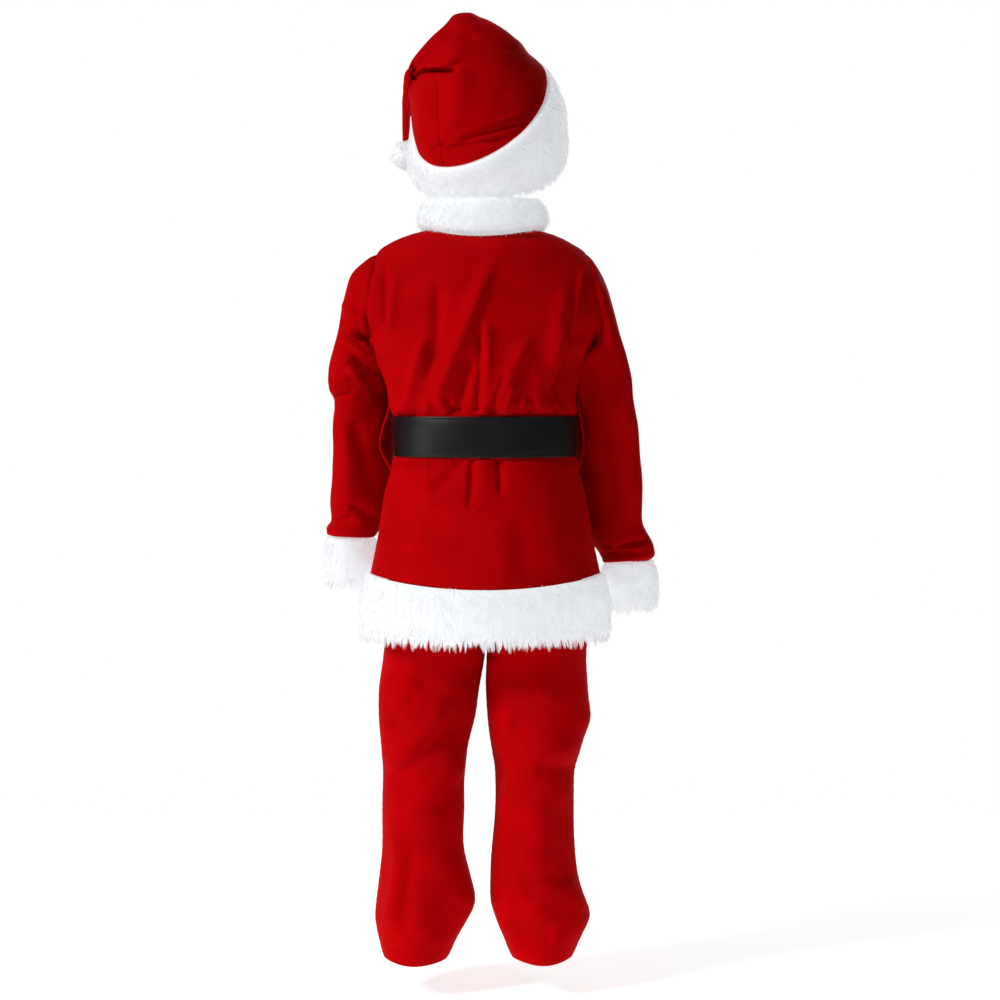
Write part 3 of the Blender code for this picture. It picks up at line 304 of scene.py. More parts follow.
# Cut across a fur band, from its top edge over the outside: share of its height, of its thickness
BAND_PROFILE = np.array((
    (0.02, -0.15), (0, 0.18), (0.05, 0.4), (0.16, 0.56), (0.34, 0.62), (0.55, 0.64), (0.74, 0.6),
    (0.86, 0.48), (0.92, 0.28), (0.92, -0.12),
))
# Each band's thickness, the length of its strip in metres, the share of its height that its base
# cloth covers, and its pile: hairs to the square cm, their length, fall, lock and pull
BAND_ROWS = 26
BANDS = {
    "collar_fur": (14, 0.36, 0.98, (105, 12.0, 0.8, 14, 0.55)),
    "hem_fur": (10.5, 0.80, 0.89, (98, 14.0, 1.7, 16, 0.85)),
    "cuff_left": (11.5, 0.21, 0.97, (105, 12.0, 1.1, 16, 0.6)),
    "cuff_right": (11.5, 0.21, 0.97, (105, 12.0, 1.1, 16, 0.6)),
    "hat_brim_fur": (15, 0.54, 0.97, (100, 13.0, 1.0, 18, 0.62)),
}
POMPOM_PILE = (260, 9.5, 0.25, 8, 0.5)


# ---- curves and surfaces, all taking arrays ----
def section(table, rows):
    """Values of a table at whole or part rows, on a Catmull-Rom curve through its rows."""
    last = len(table) - 1
    rows = np.clip(np.asarray(rows, float), 0.0, last)
    start = np.minimum(rows.astype(int), last - 1)
    t = (rows - start)[..., None]
    before, here = table[np.maximum(start - 1, 0)], table[start]
    there, after = table[start + 1], table[np.minimum(start + 2, last)]
    return here + 0.5 * t * (there - before + t * (
        2 * before - 5 * here + 4 * there - after + t * (3 * (here - there) + after - before)))


def columns_of(table, rows):
    return np.moveaxis(section(table, rows), -1, 0)


def stacked(x, y, z):
    return np.stack(np.broadcast_arrays(x, y, z), -1)


def unit(vectors):
    return vectors / np.maximum(np.linalg.norm(vectors, axis=-1, keepdims=True), 1e-9)


def ease(t):
    t = np.clip(t, 0.0, 1.0)
    return t * t * (3 - 2 * t)


def bell(value, centre, width):
    return np.exp(-((value - centre) / width) ** 2)


def spread(t):
    return t * (1.5 - 0.5 * t * t)


def stadium(angle, half_width, half_depth):
    """A ring's point as shares of its two half sizes: round ends of the smaller one's radius."""
    cos, sin = np.cos(angle), np.sin(angle)
    deep = (half_width * sin + (half_depth - half_width) * spread(sin)) / half_depth
    wide = (half_depth * cos + (half_width - half_depth) * spread(cos)) / half_width
    return (np.where(half_depth > half_width, cos, wide),
            np.where(half_depth > half_width, deep, sin))


def armhole_row(share):
    return TIP + (PIT - TIP) * (share + (1 - np.cos(math.pi * share)) / 2) / 2


def jacket_surface(face, row, column):
    (back_y, back_z, front_y, front_z, edge_x, edge_z,
     edge_back, edge_front, turn, lean) = columns_of(JACKET, row)
    centre_y, centre_z, edge_y = ((back_y, back_z, edge_back) if face > 0
                                  else (front_y, front_z, edge_front))
    edge = np.radians(np.minimum(turn, 90.0))
    angle = np.abs(column) * edge
    sag = (1 - np.cos(angle)) / (1 - np.cos(edge))
    return stacked(
        np.sign(column) * edge_x * np.sin(angle) / np.sin(edge) + lean,
        centre_y + (edge_y - centre_y) * sag,
        centre_z + (edge_z - centre_z) * np.sin(np.abs(column) * math.pi / 2) ** 2)


def armhole(side, share):
    """The armhole's line, from the shoulder down the back and up the front, as share goes to 1."""
    row = armhole_row(np.where(share <= 0.5, share * 2, (1 - share) * 2))
    back, front = jacket_surface(1, row, side), jacket_surface(-1, row, side)
    return np.where((share <= 0.5)[..., None], back, front)


def sleeve_surface(name, row, column):
    def ring(at):
        outer_x, outer_z, inner_x, inner_z, mid_y, half_depth, skew = columns_of(SLEEVES[name], at)
        reach = np.hypot(outer_x - inner_x, outer_z - inner_z) / 2
        half_width = np.sqrt(reach ** 2 - skew ** 2)
        across, deep = stadium(column * 2 * math.pi, half_width, half_depth)
        across = across * half_width / reach + deep * skew / reach
        return stacked(SIDES[name] * ((outer_x + inner_x) / 2 + (outer_x - inner_x) / 2 * across),
                       mid_y + half_depth * deep,
                       (outer_z + inner_z) / 2 + (outer_z - inner_z) / 2 * across)
    fade = (np.maximum(1 - row / SLEEVE_FADE, 0.0) ** 2)[..., None]
    return ring(row) + (armhole(SIDES[name], column % 1.0) - ring(row * 0.0)) * fade


def hat_surface(row, degrees):
    right_x, right_z, left_x, left_z, mid_y, half_depth, back_drop = columns_of(HAT, row)
    half_width = np.hypot(right_x - left_x, right_z - left_z) / 2
    across, deep = stadium(np.radians(degrees), half_width, half_depth)
    return stacked(
        (right_x + left_x) / 2 + (right_x - left_x) / 2 * across,
        mid_y + half_depth * deep,
        (right_z + left_z) / 2 + (right_z - left_z) / 2 * across - back_drop * deep)


def trouser_surface(name, face, row, column):
    (split, side_x, inner_x, side_z, inner_z,
     lift, mid_y, back, front) = columns_of(TROUSERS[name], row)
    joined = split < 1.0
    centre = np.where(joined, split * side_x / 2, (side_x + inner_x) / 2)
    half = side_x - centre
    start = np.where(joined, np.arccos(np.minimum(centre / half, 1.0)), 0.0)
    angle = start + (math.pi - start) * column
    deep = np.sin(angle)
    rounding = (1 - np.cos(math.pi * column)) / 2
    return stacked(
        SIDES[name] * (centre - half * np.cos(angle)),
        mid_y + face * (back if face > 0 else front) * deep,
        inner_z + (side_z - inner_z) * rounding - face * lift * deep)


def creased(points, table):
    """Height of all creases at points seen along Y."""
    x, z = points[..., 0], points[..., 2]
    height = np.zeros(x.shape)
    for x0, z0, x1, z1, near, far, rise, *rest in table:
        fade, bow = rest + [CREASE_FADE, 0][len(rest):]
        run_x, run_z = x1 - x0, z1 - z0
        length = math.hypot(run_x, run_z)
        along = ((x - x0) * run_x + (z - z0) * run_z) / length ** 2
        aside = ((x - x0) * run_z - (z - z0) * run_x) / length
        upright = abs(run_z) > abs(run_x)
        sign = (1 if run_z > 0 else -1) if upright else (-1 if run_x > 0 else 1)
        aside = aside * sign - bow * 4 * along * (1 - along) * (1 if upright else -1)
        beyond = np.maximum(np.maximum(-along, along - 1), 0.0) * length
        past_end = beyond / (2.5 + 0.7 * (near + far) / 2)
        ends = ease(along / fade + 0.5) * ease((1 - along) / 0.35 + 0.25)
        height += rise * ends * np.exp(-(aside / np.where(aside > 0, near, far)) ** 2
                                       - past_end ** 2)
    return height


def soft_noise(points, size, shift=(0, 0, 0)):
    """Soft random values between -1 and 1, in swells of size mm."""
    shift = Vector(shift)
    values = [noise.noise(Vector(p) / size + shift) for p in points.reshape(-1, 3).tolist()]
    return np.array(values).reshape(points.shape[:-1])


def uneven(points, size, amount, seed):
    return soft_noise(points, size, (seed * 7.3, seed * 3.1, seed * 5.7)) * amount


def lengths_along(points, axis):
    """Distance from the first point of each line of a grid, along one of its axes."""
    steps = np.linalg.norm(np.diff(points, axis=axis), axis=-1)
    zero = np.zeros_like(np.take(steps, [0], axis=axis))
    return np.concatenate((zero, np.cumsum(steps, axis=axis)), axis=axis)


def even_rows(curve, last, count):
    """Rows from 0 to last that lie evenly along a curve."""
    rows = np.linspace(0, last, 40 * last + 1)
    gone = lengths_along(curve(rows), 0)
    return np.interp(np.linspace(0, gone[-1], count), gone, rows)


def around(points, axis):
    """From each point's neighbour before it to the one after it, on closed lines."""
    return np.roll(points, -1, axis=axis) - np.roll(points, 1, axis=axis)


def grid_normals(points, outward, ring=False):
    """Unit normals of a grid, on the side of the vectors outward."""
    across = around(points, 1) if ring else np.gradient(points, axis=1)
    normals = unit(np.cross(np.gradient(points, axis=0), across))
    return -normals if (normals * outward).sum() < 0 else normals


def from_middle(points):
    """Vectors to a grid's points from the middle of their row."""
    return points - points.mean(axis=1, keepdims=True)


def closed(grid, ring, axis=1):
    """The grid, with its first line repeated at its end if it is a ring."""
    return np.concatenate((grid, np.take(grid, [0], axis=axis)), axis=axis) if ring else grid


# ---- materials ----
WHITE = (1.0, 1.0, 1.0, 1.0)


def set_inputs(tree, node, inputs):
    """Sets a node's inputs, or links them where the value is another node's output."""
    for key, value in inputs.items():
        if isinstance(value, bpy.types.NodeSocket):
            tree.links.new(value, node.inputs[key])
        else:
            node.inputs[key].default_value = value


def add_node(tree, kind, inputs):
    node = tree.nodes.new("ShaderNode" + kind)
    set_inputs(tree, node, inputs)
    return node


def object_place(tree):
    return add_node(tree, "TexCoord", {}).outputs["Object"]


def add_noise(tree, place, scale, detail, roughness=0.5):
    return add_node(tree, "TexNoise", {"Scale": scale, "Detail": detail, "Roughness": roughness,
                                       "Vector": place}).outputs["Fac"]


def add_ramp(tree, source, *stops):
    """A colour ramp; a stop is its place and its red, green and blue, or one grey."""
    node = add_node(tree, "ValToRGB", {"Fac": source})
    elements = node.color_ramp.elements
    while len(elements) < len(stops):
        elements.new(0.5)
    for element, (place, *colour) in zip(elements, stops):
        element.position = place
        element.color = (*(colour * (3 // len(colour))), 1.0)
    return node.outputs["Color"]


def add_bump(tree, source, strength, distance, below=None):
    inputs = {"Strength": strength, "Distance": distance, "Height": source}
    if below is not None:
        inputs["Normal"] = below
    return add_node(tree, "Bump", inputs).outputs["Normal"]


def new_material(name):
    material = bpy.data.materials.new(name)
    material.use_nodes = True
    return material, material.node_tree


def finish_material(material, inputs):
    set_inputs(material.node_tree, material.node_tree.nodes["Principled BSDF"], inputs)
    return material


def velour_material():
    material, tree = new_material("velour")
    place = object_place(tree)
    tone = add_ramp(tree, add_noise(tree, place, 26, 3), (0.30, 0.46, 0.0006, 0.0018),
                    (0.52, 0.50, 0.0008, 0.0022), (0.75, 0.55, 0.0011, 0.003))
    nap = add_noise(tree, place, 1500, 2, 0.6)
    fine = add_node(tree, "Mix", {})
    fine.data_type = "RGBA"
    fine.blend_type = "MULTIPLY"
    shade = add_ramp(tree, nap, (0.25, 0.80), (0.75, 1.0))
    set_inputs(tree, fine, {"Factor": 1.0, "A": tone, "B": shade})
    brushed = add_bump(tree, add_noise(tree, place, 210, 3), 0.12, 0.0006)
    return finish_material(material, {
        "Base Color": fine.outputs["Result"], "Normal": add_bump(tree, nap, 0.25, 0.0003, brushed),
        "Roughness": 0.85, "Specular IOR Level": 0.05, "Specular Tint": (1.0, 0.02, 0.03, 1.0),
        "Sheen Weight": 0.3, "Sheen Roughness": 0.4, "Sheen Tint": (1.0, 0.004, 0.01, 1.0)})


def fur_material():
    material, tree = new_material("faux_fur")
    tufts = add_noise(tree, object_place(tree), 130, 3)
    # The emission is painted light: a faint bluish-white glow that keeps the fur bright in its
    # shade, standing in for light scattered through the hairs.
    return finish_material(material, {
        "Base Color": add_ramp(tree, tufts, (0.30, 0.64, 0.645, 0.66), (0.70, 0.70, 0.70, 0.71)),
        "Emission Color": (0.94, 0.97, 1.0, 1.0), "Emission Strength": 0.4, "Roughness": 0.7,
        "Specular IOR Level": 0.2, "Sheen Weight": 0.3, "Sheen Roughness": 0.5})


def belt_material():
    material, tree = new_material("coated_belt")
    place = object_place(tree)
    grain = add_node(tree, "TexVoronoi", {"Scale": 700, "Vector": place}).outputs["Distance"]
    soft = add_noise(tree, place, 18, 2)
    return finish_material(material, {
        "Normal": add_bump(tree, grain, 0.05, 0.0002, add_bump(tree, soft, 0.25, 0.002)),
        "Roughness": add_ramp(tree, soft, (0.3, 0.38), (0.7, 0.50)),
        "Base Color": (0.003, 0.0038, 0.0052, 1.0), "Specular IOR Level": 0.3})


def buckle_material():
    material, tree = new_material("buckle_plate")
    wear = add_noise(tree, object_place(tree), 90, 4)
    return finish_material(material, {
        "Base Color": add_ramp(tree, wear, (0.3, 0.70, 0.47, 0.16), (0.7, 0.86, 0.63, 0.26)),
        "Roughness": add_ramp(tree, wear, (0.3, 0.18), (0.75, 0.34)), "Metallic": 1.0})


def elastic_material():
    material, tree = new_material("gathered_elastic")
    nap = add_noise(tree, object_place(tree), 900, 2)
    return finish_material(material, {
        "Base Color": add_ramp(tree, nap, (0.3, 0.46, 0.001, 0.004), (0.7, 0.58, 0.0015, 0.006)),
        "Normal": add_bump(tree, nap, 0.3, 0.0004), "Roughness": 0.85})


def floor_material():
    return finish_material(new_material("floor")[0], {
        "Base Color": (0.93, 0.93, 0.93, 1.0), "Roughness": 0.9, "Specular IOR Level": 0.1,
        "Emission Color": WHITE, "Emission Strength": 0.6})


MATERIALS = {"velour": velour_material(), "fur": fur_material(), "belt": belt_material(),
             "elastic": elastic_material()}


# ---- meshes and pieces ----
def link_object(name, data):
    item = bpy.data.objects.new(name, data)
    bpy.context.scene.collection.objects.link(item)
    return item


def add_mesh(name, points, faces, material):
    mesh = bpy.data.meshes.new(name)
    mesh.from_pydata((points * MM).tolist(), [], faces)
    mesh.materials.append(material)
    if len(faces) > 1:
        mesh.shade_smooth()
    return link_object(name, mesh)


def grid_faces(rows, columns, ring, turned):
    here = closed(np.arange(rows * columns).reshape(rows, columns), ring)
    a, b, c, d = here[:-1, :-1], here[:-1, 1:], here[1:, 1:], here[1:, :-1]
    return np.stack((a, d, c, b) if turned else (a, b, c, d), -1).reshape(-1, 4).tolist()


def finish_piece(item, node):
    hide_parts(node)
    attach(item, "root")
    return item


def add_piece(node, points, normals, ring=False, slot="velour", part="cloth"):
    """A sheet from a grid, its faces on the side of the normals, in the place of a CAD node."""
    rows, columns = points.shape[:2]
    r, c = rows // 2, columns // 2
    face = np.cross(points[r, c + 1] - points[r, c], points[r + 1, c] - points[r, c])
    faces = grid_faces(rows, columns, ring, float(face @ normals[r, c]) < 0)
    item = add_mesh("%s_%s" % (node, part), points.reshape(-1, 3), faces, MATERIALS[slot])
    return finish_piece(item, node)


def side_distances(points):
    """Distance of a grid's points from each of its two side edges."""
    across = lengths_along(points, 1)
    return across, across[:, -1:] - across


def seam_roll(distance, along, depth):
    """How far cloth dips towards a seam, with the small puckers of the stitching."""
    pucker = np.sin(along * 0.62 + 1.7 * np.sin(along * 0.11)) * np.exp(-distance / 7.0)
    return -depth * bell(distance, 0, 3.2) + 0.28 * pucker * (1 - np.exp(-distance / 2.0))


def seam_rolls(sides, along, depth):
    return seam_roll(sides[0], along, depth) + seam_roll(sides[1], along, depth)


def armhole_lift(row, distance):
    """How far both edges of the armhole are brought out, so that the seam lies flat."""
    down = np.clip((row - TIP) / (PIT - TIP), 0.0, 1.0)
    return 6.0 * np.sin(math.pi * down) ** 0.7 * bell(distance, 0, 15)


def under_arm(z, right):
    """1 just under the armpit and 0 away from it; it reaches lower on the wearer's right."""
    return np.exp(-((z + 140 + 18 * right) / (20 + 12 * right)) ** 2)


def with_flanges(points, normals, depth):
    """Adds a strip inwards along both side edges, as a seam allowance."""
    left = points[:, :1] - normals[:, :1] * depth
    right = points[:, -1:] - normals[:, -1:] * depth
    return (np.concatenate((left, points, right), axis=1),
            np.concatenate((normals[:, :1], normals, normals[:, -1:]), axis=1))


# ---- camera, light and floor ----
def set_stage():
    scene = bpy.context.scene
    camera = bpy.data.cameras.new("camera")
    camera.sensor_width = 36
    camera.lens = 36 * CAMERA_Y / FRAME_WIDTH
    camera.shift_y = -FRAME_DROP / FRAME_WIDTH
    scene.camera = link_object("camera", camera)
    scene.camera.location = (CAMERA_X * MM, CAMERA_Y * MM, CAMERA_Z * MM)
    scene.camera.rotation_euler = (math.radians(90), 0.0, math.radians(180))

    for name, place, target, size, energy in LIGHTS:
        light = bpy.data.lights.new(name, "AREA")
        light.shape = "DISK"
        light.size = size
        light.energy = energy
        item = link_object(name, light)
        item.location = place
        item.rotation_euler = (Vector(target) - item.location).to_track_quat("-Z", "Y").to_euler()

    world = bpy.data.worlds.new("studio")
    world.use_nodes = True
    tree = world.node_tree
    ambient = tree.nodes["Background"]
    set_inputs(tree, ambient, {"Color": WHITE, "Strength": 0.14})
    seen = add_node(tree, "Background", {"Color": WHITE, "Strength": 1.0})
    mix = add_node(tree, "MixShader", {
        "Fac": add_node(tree, "LightPath", {}).outputs["Is Camera Ray"],
        1: ambient.outputs[0], 2: seen.outputs[0]})
    tree.links.new(mix.outputs[0], tree.nodes["World Output"].inputs["Surface"])
    scene.world = world
    scene.view_settings.view_transform = "Standard"

    corners = FLOOR_HALF * np.array(((-1, -1, 0), (1, -1, 0), (1, 1, 0), (-1, 1, 0)))
    add_mesh("floor", corners + UP * FLOOR_Z, [(0, 1, 2, 3)], floor_material())


# ---- cloth ----
def make_jacket(name, face, low, high, table):
    """The jacket's back or one front, between its columns low and high."""
    fine = 2 if face > 0 else 2.6
    rows = even_rows(lambda r: jacket_surface(1, r, r * 0), HEM, int(440 / fine))
    columns = np.linspace(low, high, int(150 * (high - low) / fine) + 1)
    row, column = rows[:, None], columns[None, :]
    points = jacket_surface(face, row, column)
    z = points[..., 2]
    normals = grid_normals(points, points - stacked(columns_of(JACKET, row)[9], 0, z))
    facing = ease(face * normals[..., 1] / 0.45)
    off_belt = ease((np.abs(z - BELT_Z) - BELT_WIDTH / 2 + 1) / 7)
    rise = creased(points, table) * facing * off_belt
    rise += uneven(points, 46, 1.5, 3) * off_belt
    # The cloth blouses over the belt, flares below it, and fills the armpits and the loops
    rise += 3.0 * bell(z, -206, 8) * facing * off_belt
    rise += 1.6 * bell(z, -284, 9) * off_belt
    sides = side_distances(points)
    rise += seam_rolls(sides, lengths_along(points, 0), 0.35)
    rise += 6.0 * under_arm(z, np.clip(-column, 0.0, 1.0)) * np.abs(column) ** 6
    rise += 5.0 * (bell(z, -276, 7) + bell(z, -214, 6)) * np.abs(column) ** 6
    points = points + normals * rise[..., None]
    for distance, end in zip(sides, (low, high)):
        if end:
            points[..., 1] += face * armhole_lift(row, distance)
    item = add_piece(name, *with_flanges(points, normals, 3.0))


def make_sleeve(name, side):
    rows = even_rows(lambda r: sleeve_surface(name, r, r * 0 + 0.25), len(SLEEVES[name]) - 1, 165)
    row, column = rows[:, None], (np.arange(132) / 132)[None, :]
    points = sleeve_surface(name, row, column)
    normals = grid_normals(points, from_middle(points), ring=True)
    rise = creased(points, SLEEVE_CREASES[name]) * ease(normals[..., 1] / 0.35 + 0.2)
    rise += creased(points, SLEEVE_FRONT_CREASES[name]) * ease(-normals[..., 1] / 0.4)
    rise += uneven(points, 40, 1.6, 5 + side)
    along = lengths_along(points, 0)
    rise *= ease(along / 10)
    rise += seam_roll(along, column * 300 + along * 0, 0.3)
    rise += 0.5 * bell(along, 9, 6)
    # The cloth bunches under the arm and over the cuff
    inward = np.maximum(-side * normals[..., 0], 0.0)
    z = points[..., 2]
    rise += UNDER_ARM_FILL[name] * under_arm(z, 0.5 - side / 2) * inward * ease(along / 5)
    rise += 2.5 * bell(along[-1:] - along, 9, 8)
    rise += (2.5 - 2.5 * side) * inward * bell(z, -385, 24)
    points = points + normals * rise[..., None]
    behind = column <= 0.5
    edge_row = armhole_row(np.where(behind, column * 2, (1 - column) * 2))
    points[..., 1] += np.where(behind, 1.0, -1.0) * armhole_lift(edge_row, along)
    first = points[:1] - normals[:1] * 2.0 - np.array((side * 2.0, 0.0, 0.0))
    points = np.concatenate((first, points, points[-1:] - normals[-1:] * 3.0))
    item = add_piece("sleeve_" + name, points, normals, ring=True)


def make_hat(name, start):
    """One half of the hat, from start degrees on."""
    rows = even_rows(lambda r: hat_surface(r, r * 0 + HAT_SEAM), len(HAT) - 1, 223)
    row, columns = rows[:, None], np.linspace(start, start + 180, 95)
    middle = hat_surface(row, np.arange(0, 360, 20)[None, :]).mean(axis=1, keepdims=True)
    points = hat_surface(row, columns[None, :])
    normals = grid_normals(points, points - middle)
    back = ease(normals[..., 1] / 0.35)
    crown = ease((9.5 - row) / 2)
    rise = creased(points, HAT_CREASES) * back * crown
    rise += creased(points, HAT_FRONT_CREASES) * ease(-normals[..., 1] / 0.35) * crown
    rise += uneven(points, 38, 1.4, 11) * ease((12 - row) / 4)
    sides = side_distances(points)
    small = np.minimum(1.0, sides[0][:, -1:] / 60)
    rolls = seam_rolls(sides, lengths_along(points, 0), 0.8)
    rise += rolls * small * ease((5.5 - row) / 1.5)
    # The folded tail lies close to the crown, its fold has a shoulder and the hat a soft peak
    x, z = points[..., 0], points[..., 2]
    tail = ease((row - 8.8) / 0.8) * ease((13.6 - row) / 1.0)
    rise += 7.5 * tail * np.maximum(-normals[..., 0], 0.0)
    crown_side = 7.0 * bell(z, 204, 6) + 3.0 * bell(z, 188, 12)
    shoulder = 7.0 * bell(z, 209, 9) + 2.0 * bell(z, 190, 9)
    rise += np.where(row < HAT_PEAK, crown_side, -shoulder) * np.maximum(normals[..., 0], 0.0)
    peak = ease((z - 262) / 18) * ease((x - 4) / 16) * ease((52 - x) / 16)
    rise += 4.0 * peak + 2.0 * np.exp(-((x + 44) ** 2 + (z - 250) ** 2) / 90)
    points[..., 2] -= creased(points, HAT_LIP) * back * crown
    points[..., 1] += 7.0 * back * ease((row - 6.5) / 1.5) * ease((12.5 - row) / 2)
    points = points + normals * rise[..., None]
    item = add_piece(name, *with_flanges(points, normals, 1.0))


def make_leg_panel(name, face, panel, fine, creases):
    """The back or front of one leg, in cells of fine mm."""
    rows = even_rows(lambda r: trouser_surface(name, 1, r, r * 0 + 0.5), len(TROUSERS[name]) - 1,
                     int(640 / fine))
    columns = np.linspace(0, 1, int(190 / fine) + 1)
    row, column = rows[:, None], columns[None, :]
    points = trouser_surface(name, face, row, column)
    corner = ease((row - 18) / 2) * np.abs(2 * column - 1) ** 3
    points[..., 2] -= 14 * corner
    points[..., 0] -= SIDES[name] * 4 * corner * np.sign(column - 0.5)
    normals = grid_normals(points, points - (points[:, :1] * 0.5 + points[:, -1:] * 0.5))
    z = points[..., 2]
    free = ease((CROTCH_Z - z) / 40)
    rise = creased(points, creases) * ease(face * normals[..., 1] / 0.4) * free
    rise += uneven(points, 52, 1.7, 17 if name == "left" else 23) * free
    rise -= 5.0 * ease((z - CROTCH_Z - 20) / 40)    # clear of the jacket
    on_right = np.maximum(-normals[..., 0], 0.0) ** 2
    if name == "left":
        rise += 8.0 * ease((z + 640) / 130) * on_right
    else:
        rise += (4.5 * bell(z, -597, 20) - 1.5 * bell(z, -660, 22)) * on_right
    along = lengths_along(points, 0)
    rise += seam_rolls(side_distances(points), along, 1.0)
    from_hem = along[-1:] - along
    rise -= 0.45 * bell(from_hem, 19, 1.6)
    rise += 0.35 * bell(from_hem, 9, 8)
    points, normals = with_flanges(points + normals * rise[..., None], normals, 2.5)
    turn = int(22 / fine)
    # The hem is turned in
    folded = [points[-1:] - normals[-1:] * 1.0 - np.array((0, 0, 0.7)),
              points[-1:] - normals[-1:] * 2.0,
              points[-turn:-turn + 1] - normals[-turn:-turn + 1] * 2.4]
    item = add_piece("trouser_%s_%s" % (panel, name), np.concatenate([points] + folded), normals)


# ---- fur ----
def sample_grid(points, others, weight, density):
    """Random places on a grid, density times weight to the square cm, and the others' values."""
    across = points[:-1, 1:] - points[:-1, :-1]
    down = points[1:, :-1] - points[:-1, :-1]
    area = (np.linalg.norm(np.cross(across, down), axis=-1) * weight[:-1, :-1, 0]).ravel()
    count = int(area.sum() / 100 * density)
    chosen = rng.choice(area.size, size=count, p=area / area.sum())
    r, c = np.divmod(chosen, points.shape[1] - 1)
    u, v = rng.random((2, count, 1))

    def mixed(values):
        return ((values[r, c] * (1 - u) + values[r, c + 1] * u) * (1 - v)
                + (values[r + 1, c] * (1 - u) + values[r + 1, c + 1] * u) * v)
    return [mixed(values) for values in [points] + others]


def make_pile(node, points, normals, lay, growth, pile):
    """A pile over a grid. lay is its direction along the cloth and growth its length as a share.

    In pile, fall is how far it lies down, lock the number of hairs drawn together and pull how far
    their tips are drawn.
    """
    density, length, fall, lock, pull = pile
    step = unit(np.cross(normals, lay))
    growth = np.broadcast_to(growth, points.shape[:2] + (1,))
    root, normal, along, aside, grown = sample_grid(
        points, [normals, lay, step, growth], growth ** 0.5, density)
    normal, along, aside = unit(normal), unit(along), unit(aside)
    count = len(root)
    wave = soft_noise(root, 17)[:, None]
    curl = soft_noise(root, 7, (50, 0, 0))[:, None]
    spray = rng.normal(0, 0.2, (2, count, 1))
    size = length * grown * (0.72 + 0.5 * rng.random((count, 1)))
    first = unit(normal + along * (fall * 0.55 + spray[0]) + aside * (wave * 0.9 + spray[1]))
    then = unit(normal * 0.4 + along * (fall * 1.25 + spray[0]) + aside * (curl * 1.6 + spray[1]))
    middle = root + first * size * 0.5
    tip = middle + then * size * 0.5

    heads = np.arange(0, count, lock)
    tree = kdtree.KDTree(len(heads))
    for k, place in enumerate(root[heads].tolist()):
        tree.insert(place, k)
    tree.balance()
    near = heads[np.array([tree.find(place)[1] for place in root.tolist()])]
    drawn = (pull * (0.6 + 0.5 * rng.random((count, 1)))
             * (0.25 + 0.75 * ease((grown - 0.95) / 0.2)))
    middle += (middle[near] - middle) * drawn * 0.35
    tip += (tip[near] - tip) * drawn
    width = unit(np.cross(tip - root, normal + rng.normal(0, 0.35, (count, 3))))
    width *= 0.32 * (0.8 + 0.4 * rng.random((count, 1)))

    # Each hair is a tapered blade of three triangles, and all five points share its shading
    points = np.stack((root - width, root + width, middle - width * 0.8, middle + width * 0.8,
                       tip), 1)
    base = 5 * np.arange(count)[:, None]
    faces = (base + (0, 1, 3, 2)).tolist() + (base + (2, 3, 4)).tolist()
    item = add_mesh(node + "_pile", points.reshape(-1, 3), faces, MATERIALS["fur"])
    shading = np.repeat(unit(normal + 0.15 * first), 5, axis=0)
    item.data.normals_split_custom_set_from_vertices(shading.tolist())
    return finish_piece(item, node)


def make_band(node, top, bottom, outward, ring, low_end=0.0):
    """A fur band between two lines of points, and its pile; low_end turns the lowest hairs up."""
    thickness, girth, reach, pile = BANDS[node]
    run = bottom - top
    down, out = section(BAND_PROFILE, np.linspace(0, len(BAND_PROFILE) - 1, BAND_ROWS)).T
    points = closed(top[None] + (top + run * reach - top)[None] * down[:, None, None]
                    + outward[None] * out[:, None, None] * thickness, ring)
    normals = grid_normals(points, np.broadcast_to(closed(outward, ring, 0), points.shape))
    full = ease(down / 0.2) * ease((0.95 - down) / 0.2)
    swell = uneven(points, 16, 2.2, 31) + uneven(points, 7, 1.0, 37)
    if ring:
        swell[:, -1] = swell[:, 0]
    points = points + normals * (swell * full[:, None])[..., None]
    shown = slice(None, -1 if ring else None)
    item = add_piece(node, points[:, shown], normals[:, shown], ring, "fur")

    lay = unit(np.broadcast_to(closed(run, ring, 0), points.shape))
    turn = (1.0 - low_end * ease((down - 0.55) / 0.35))[:, None, None]
    growth = 0.45 + 0.55 * ease(down / 0.35)
    growth += (0.15 - 0.6 * (low_end > 0)) * ease((down - 0.6) / 0.3)
    at = slice(3, BAND_ROWS - 2)    # the rows on the outside
    pile_item = make_pile(node, points[at], normals[at], (lay * turn)[at] + normals[at] * 1e-3,
                          growth[at, None, None], pile)


def fine_loop(row):
    """Points round the jacket at one row, from the centre front by the left side to the front."""
    return np.concatenate((jacket_surface(-1, row, np.linspace(0, 1, 60)),
                           jacket_surface(1, row, np.linspace(1, -1, 200)[1:]),
                           jacket_surface(-1, row, np.linspace(-1, 0, 60)[1:])))


def loop_outward(points, up, ring):
    across = unit(np.cross(around(points, 0) if ring else np.gradient(points, axis=0), up))
    return across * np.sign((across * (points - points.mean(axis=0))).sum(axis=-1, keepdims=True))


def make_jacket_fur():
    neck = fine_loop(0) + UP * REST
    top = neck * (COLLAR_TAPER, COLLAR_TAPER, 1.0)
    top[:, 2] = COLLAR_TOP + COLLAR_FRONT_DIP * np.minimum(neck[:, 1] / abs(neck[0, 1]), 0.0)
    make_band("collar_fur", top, neck, loop_outward(neck, UP, False), False, 1.0)

    edge = fine_loop(HEM) - UP * 1.7 * REST
    low = edge * (HEM_FLARE, HEM_FLARE, 1.0)
    low[:, 2] = edge[:, 2].max() - HEM_HEIGHT
    make_band("hem_fur", edge, low, loop_outward(edge, UP, False), False)

    for name, table in SLEEVES.items():
        wrist = sleeve_surface(name, len(table) - 1.0, np.arange(220) / 220) - UP * REST
        middle = wrist.mean(axis=0)
        low = middle + (wrist - middle) * CUFF_TAPER + np.array((0.0, -CUFF_FORWARD, -CUFF_LENGTH))
        make_band("cuff_" + name, wrist, low, loop_outward(wrist, UP, True), True)


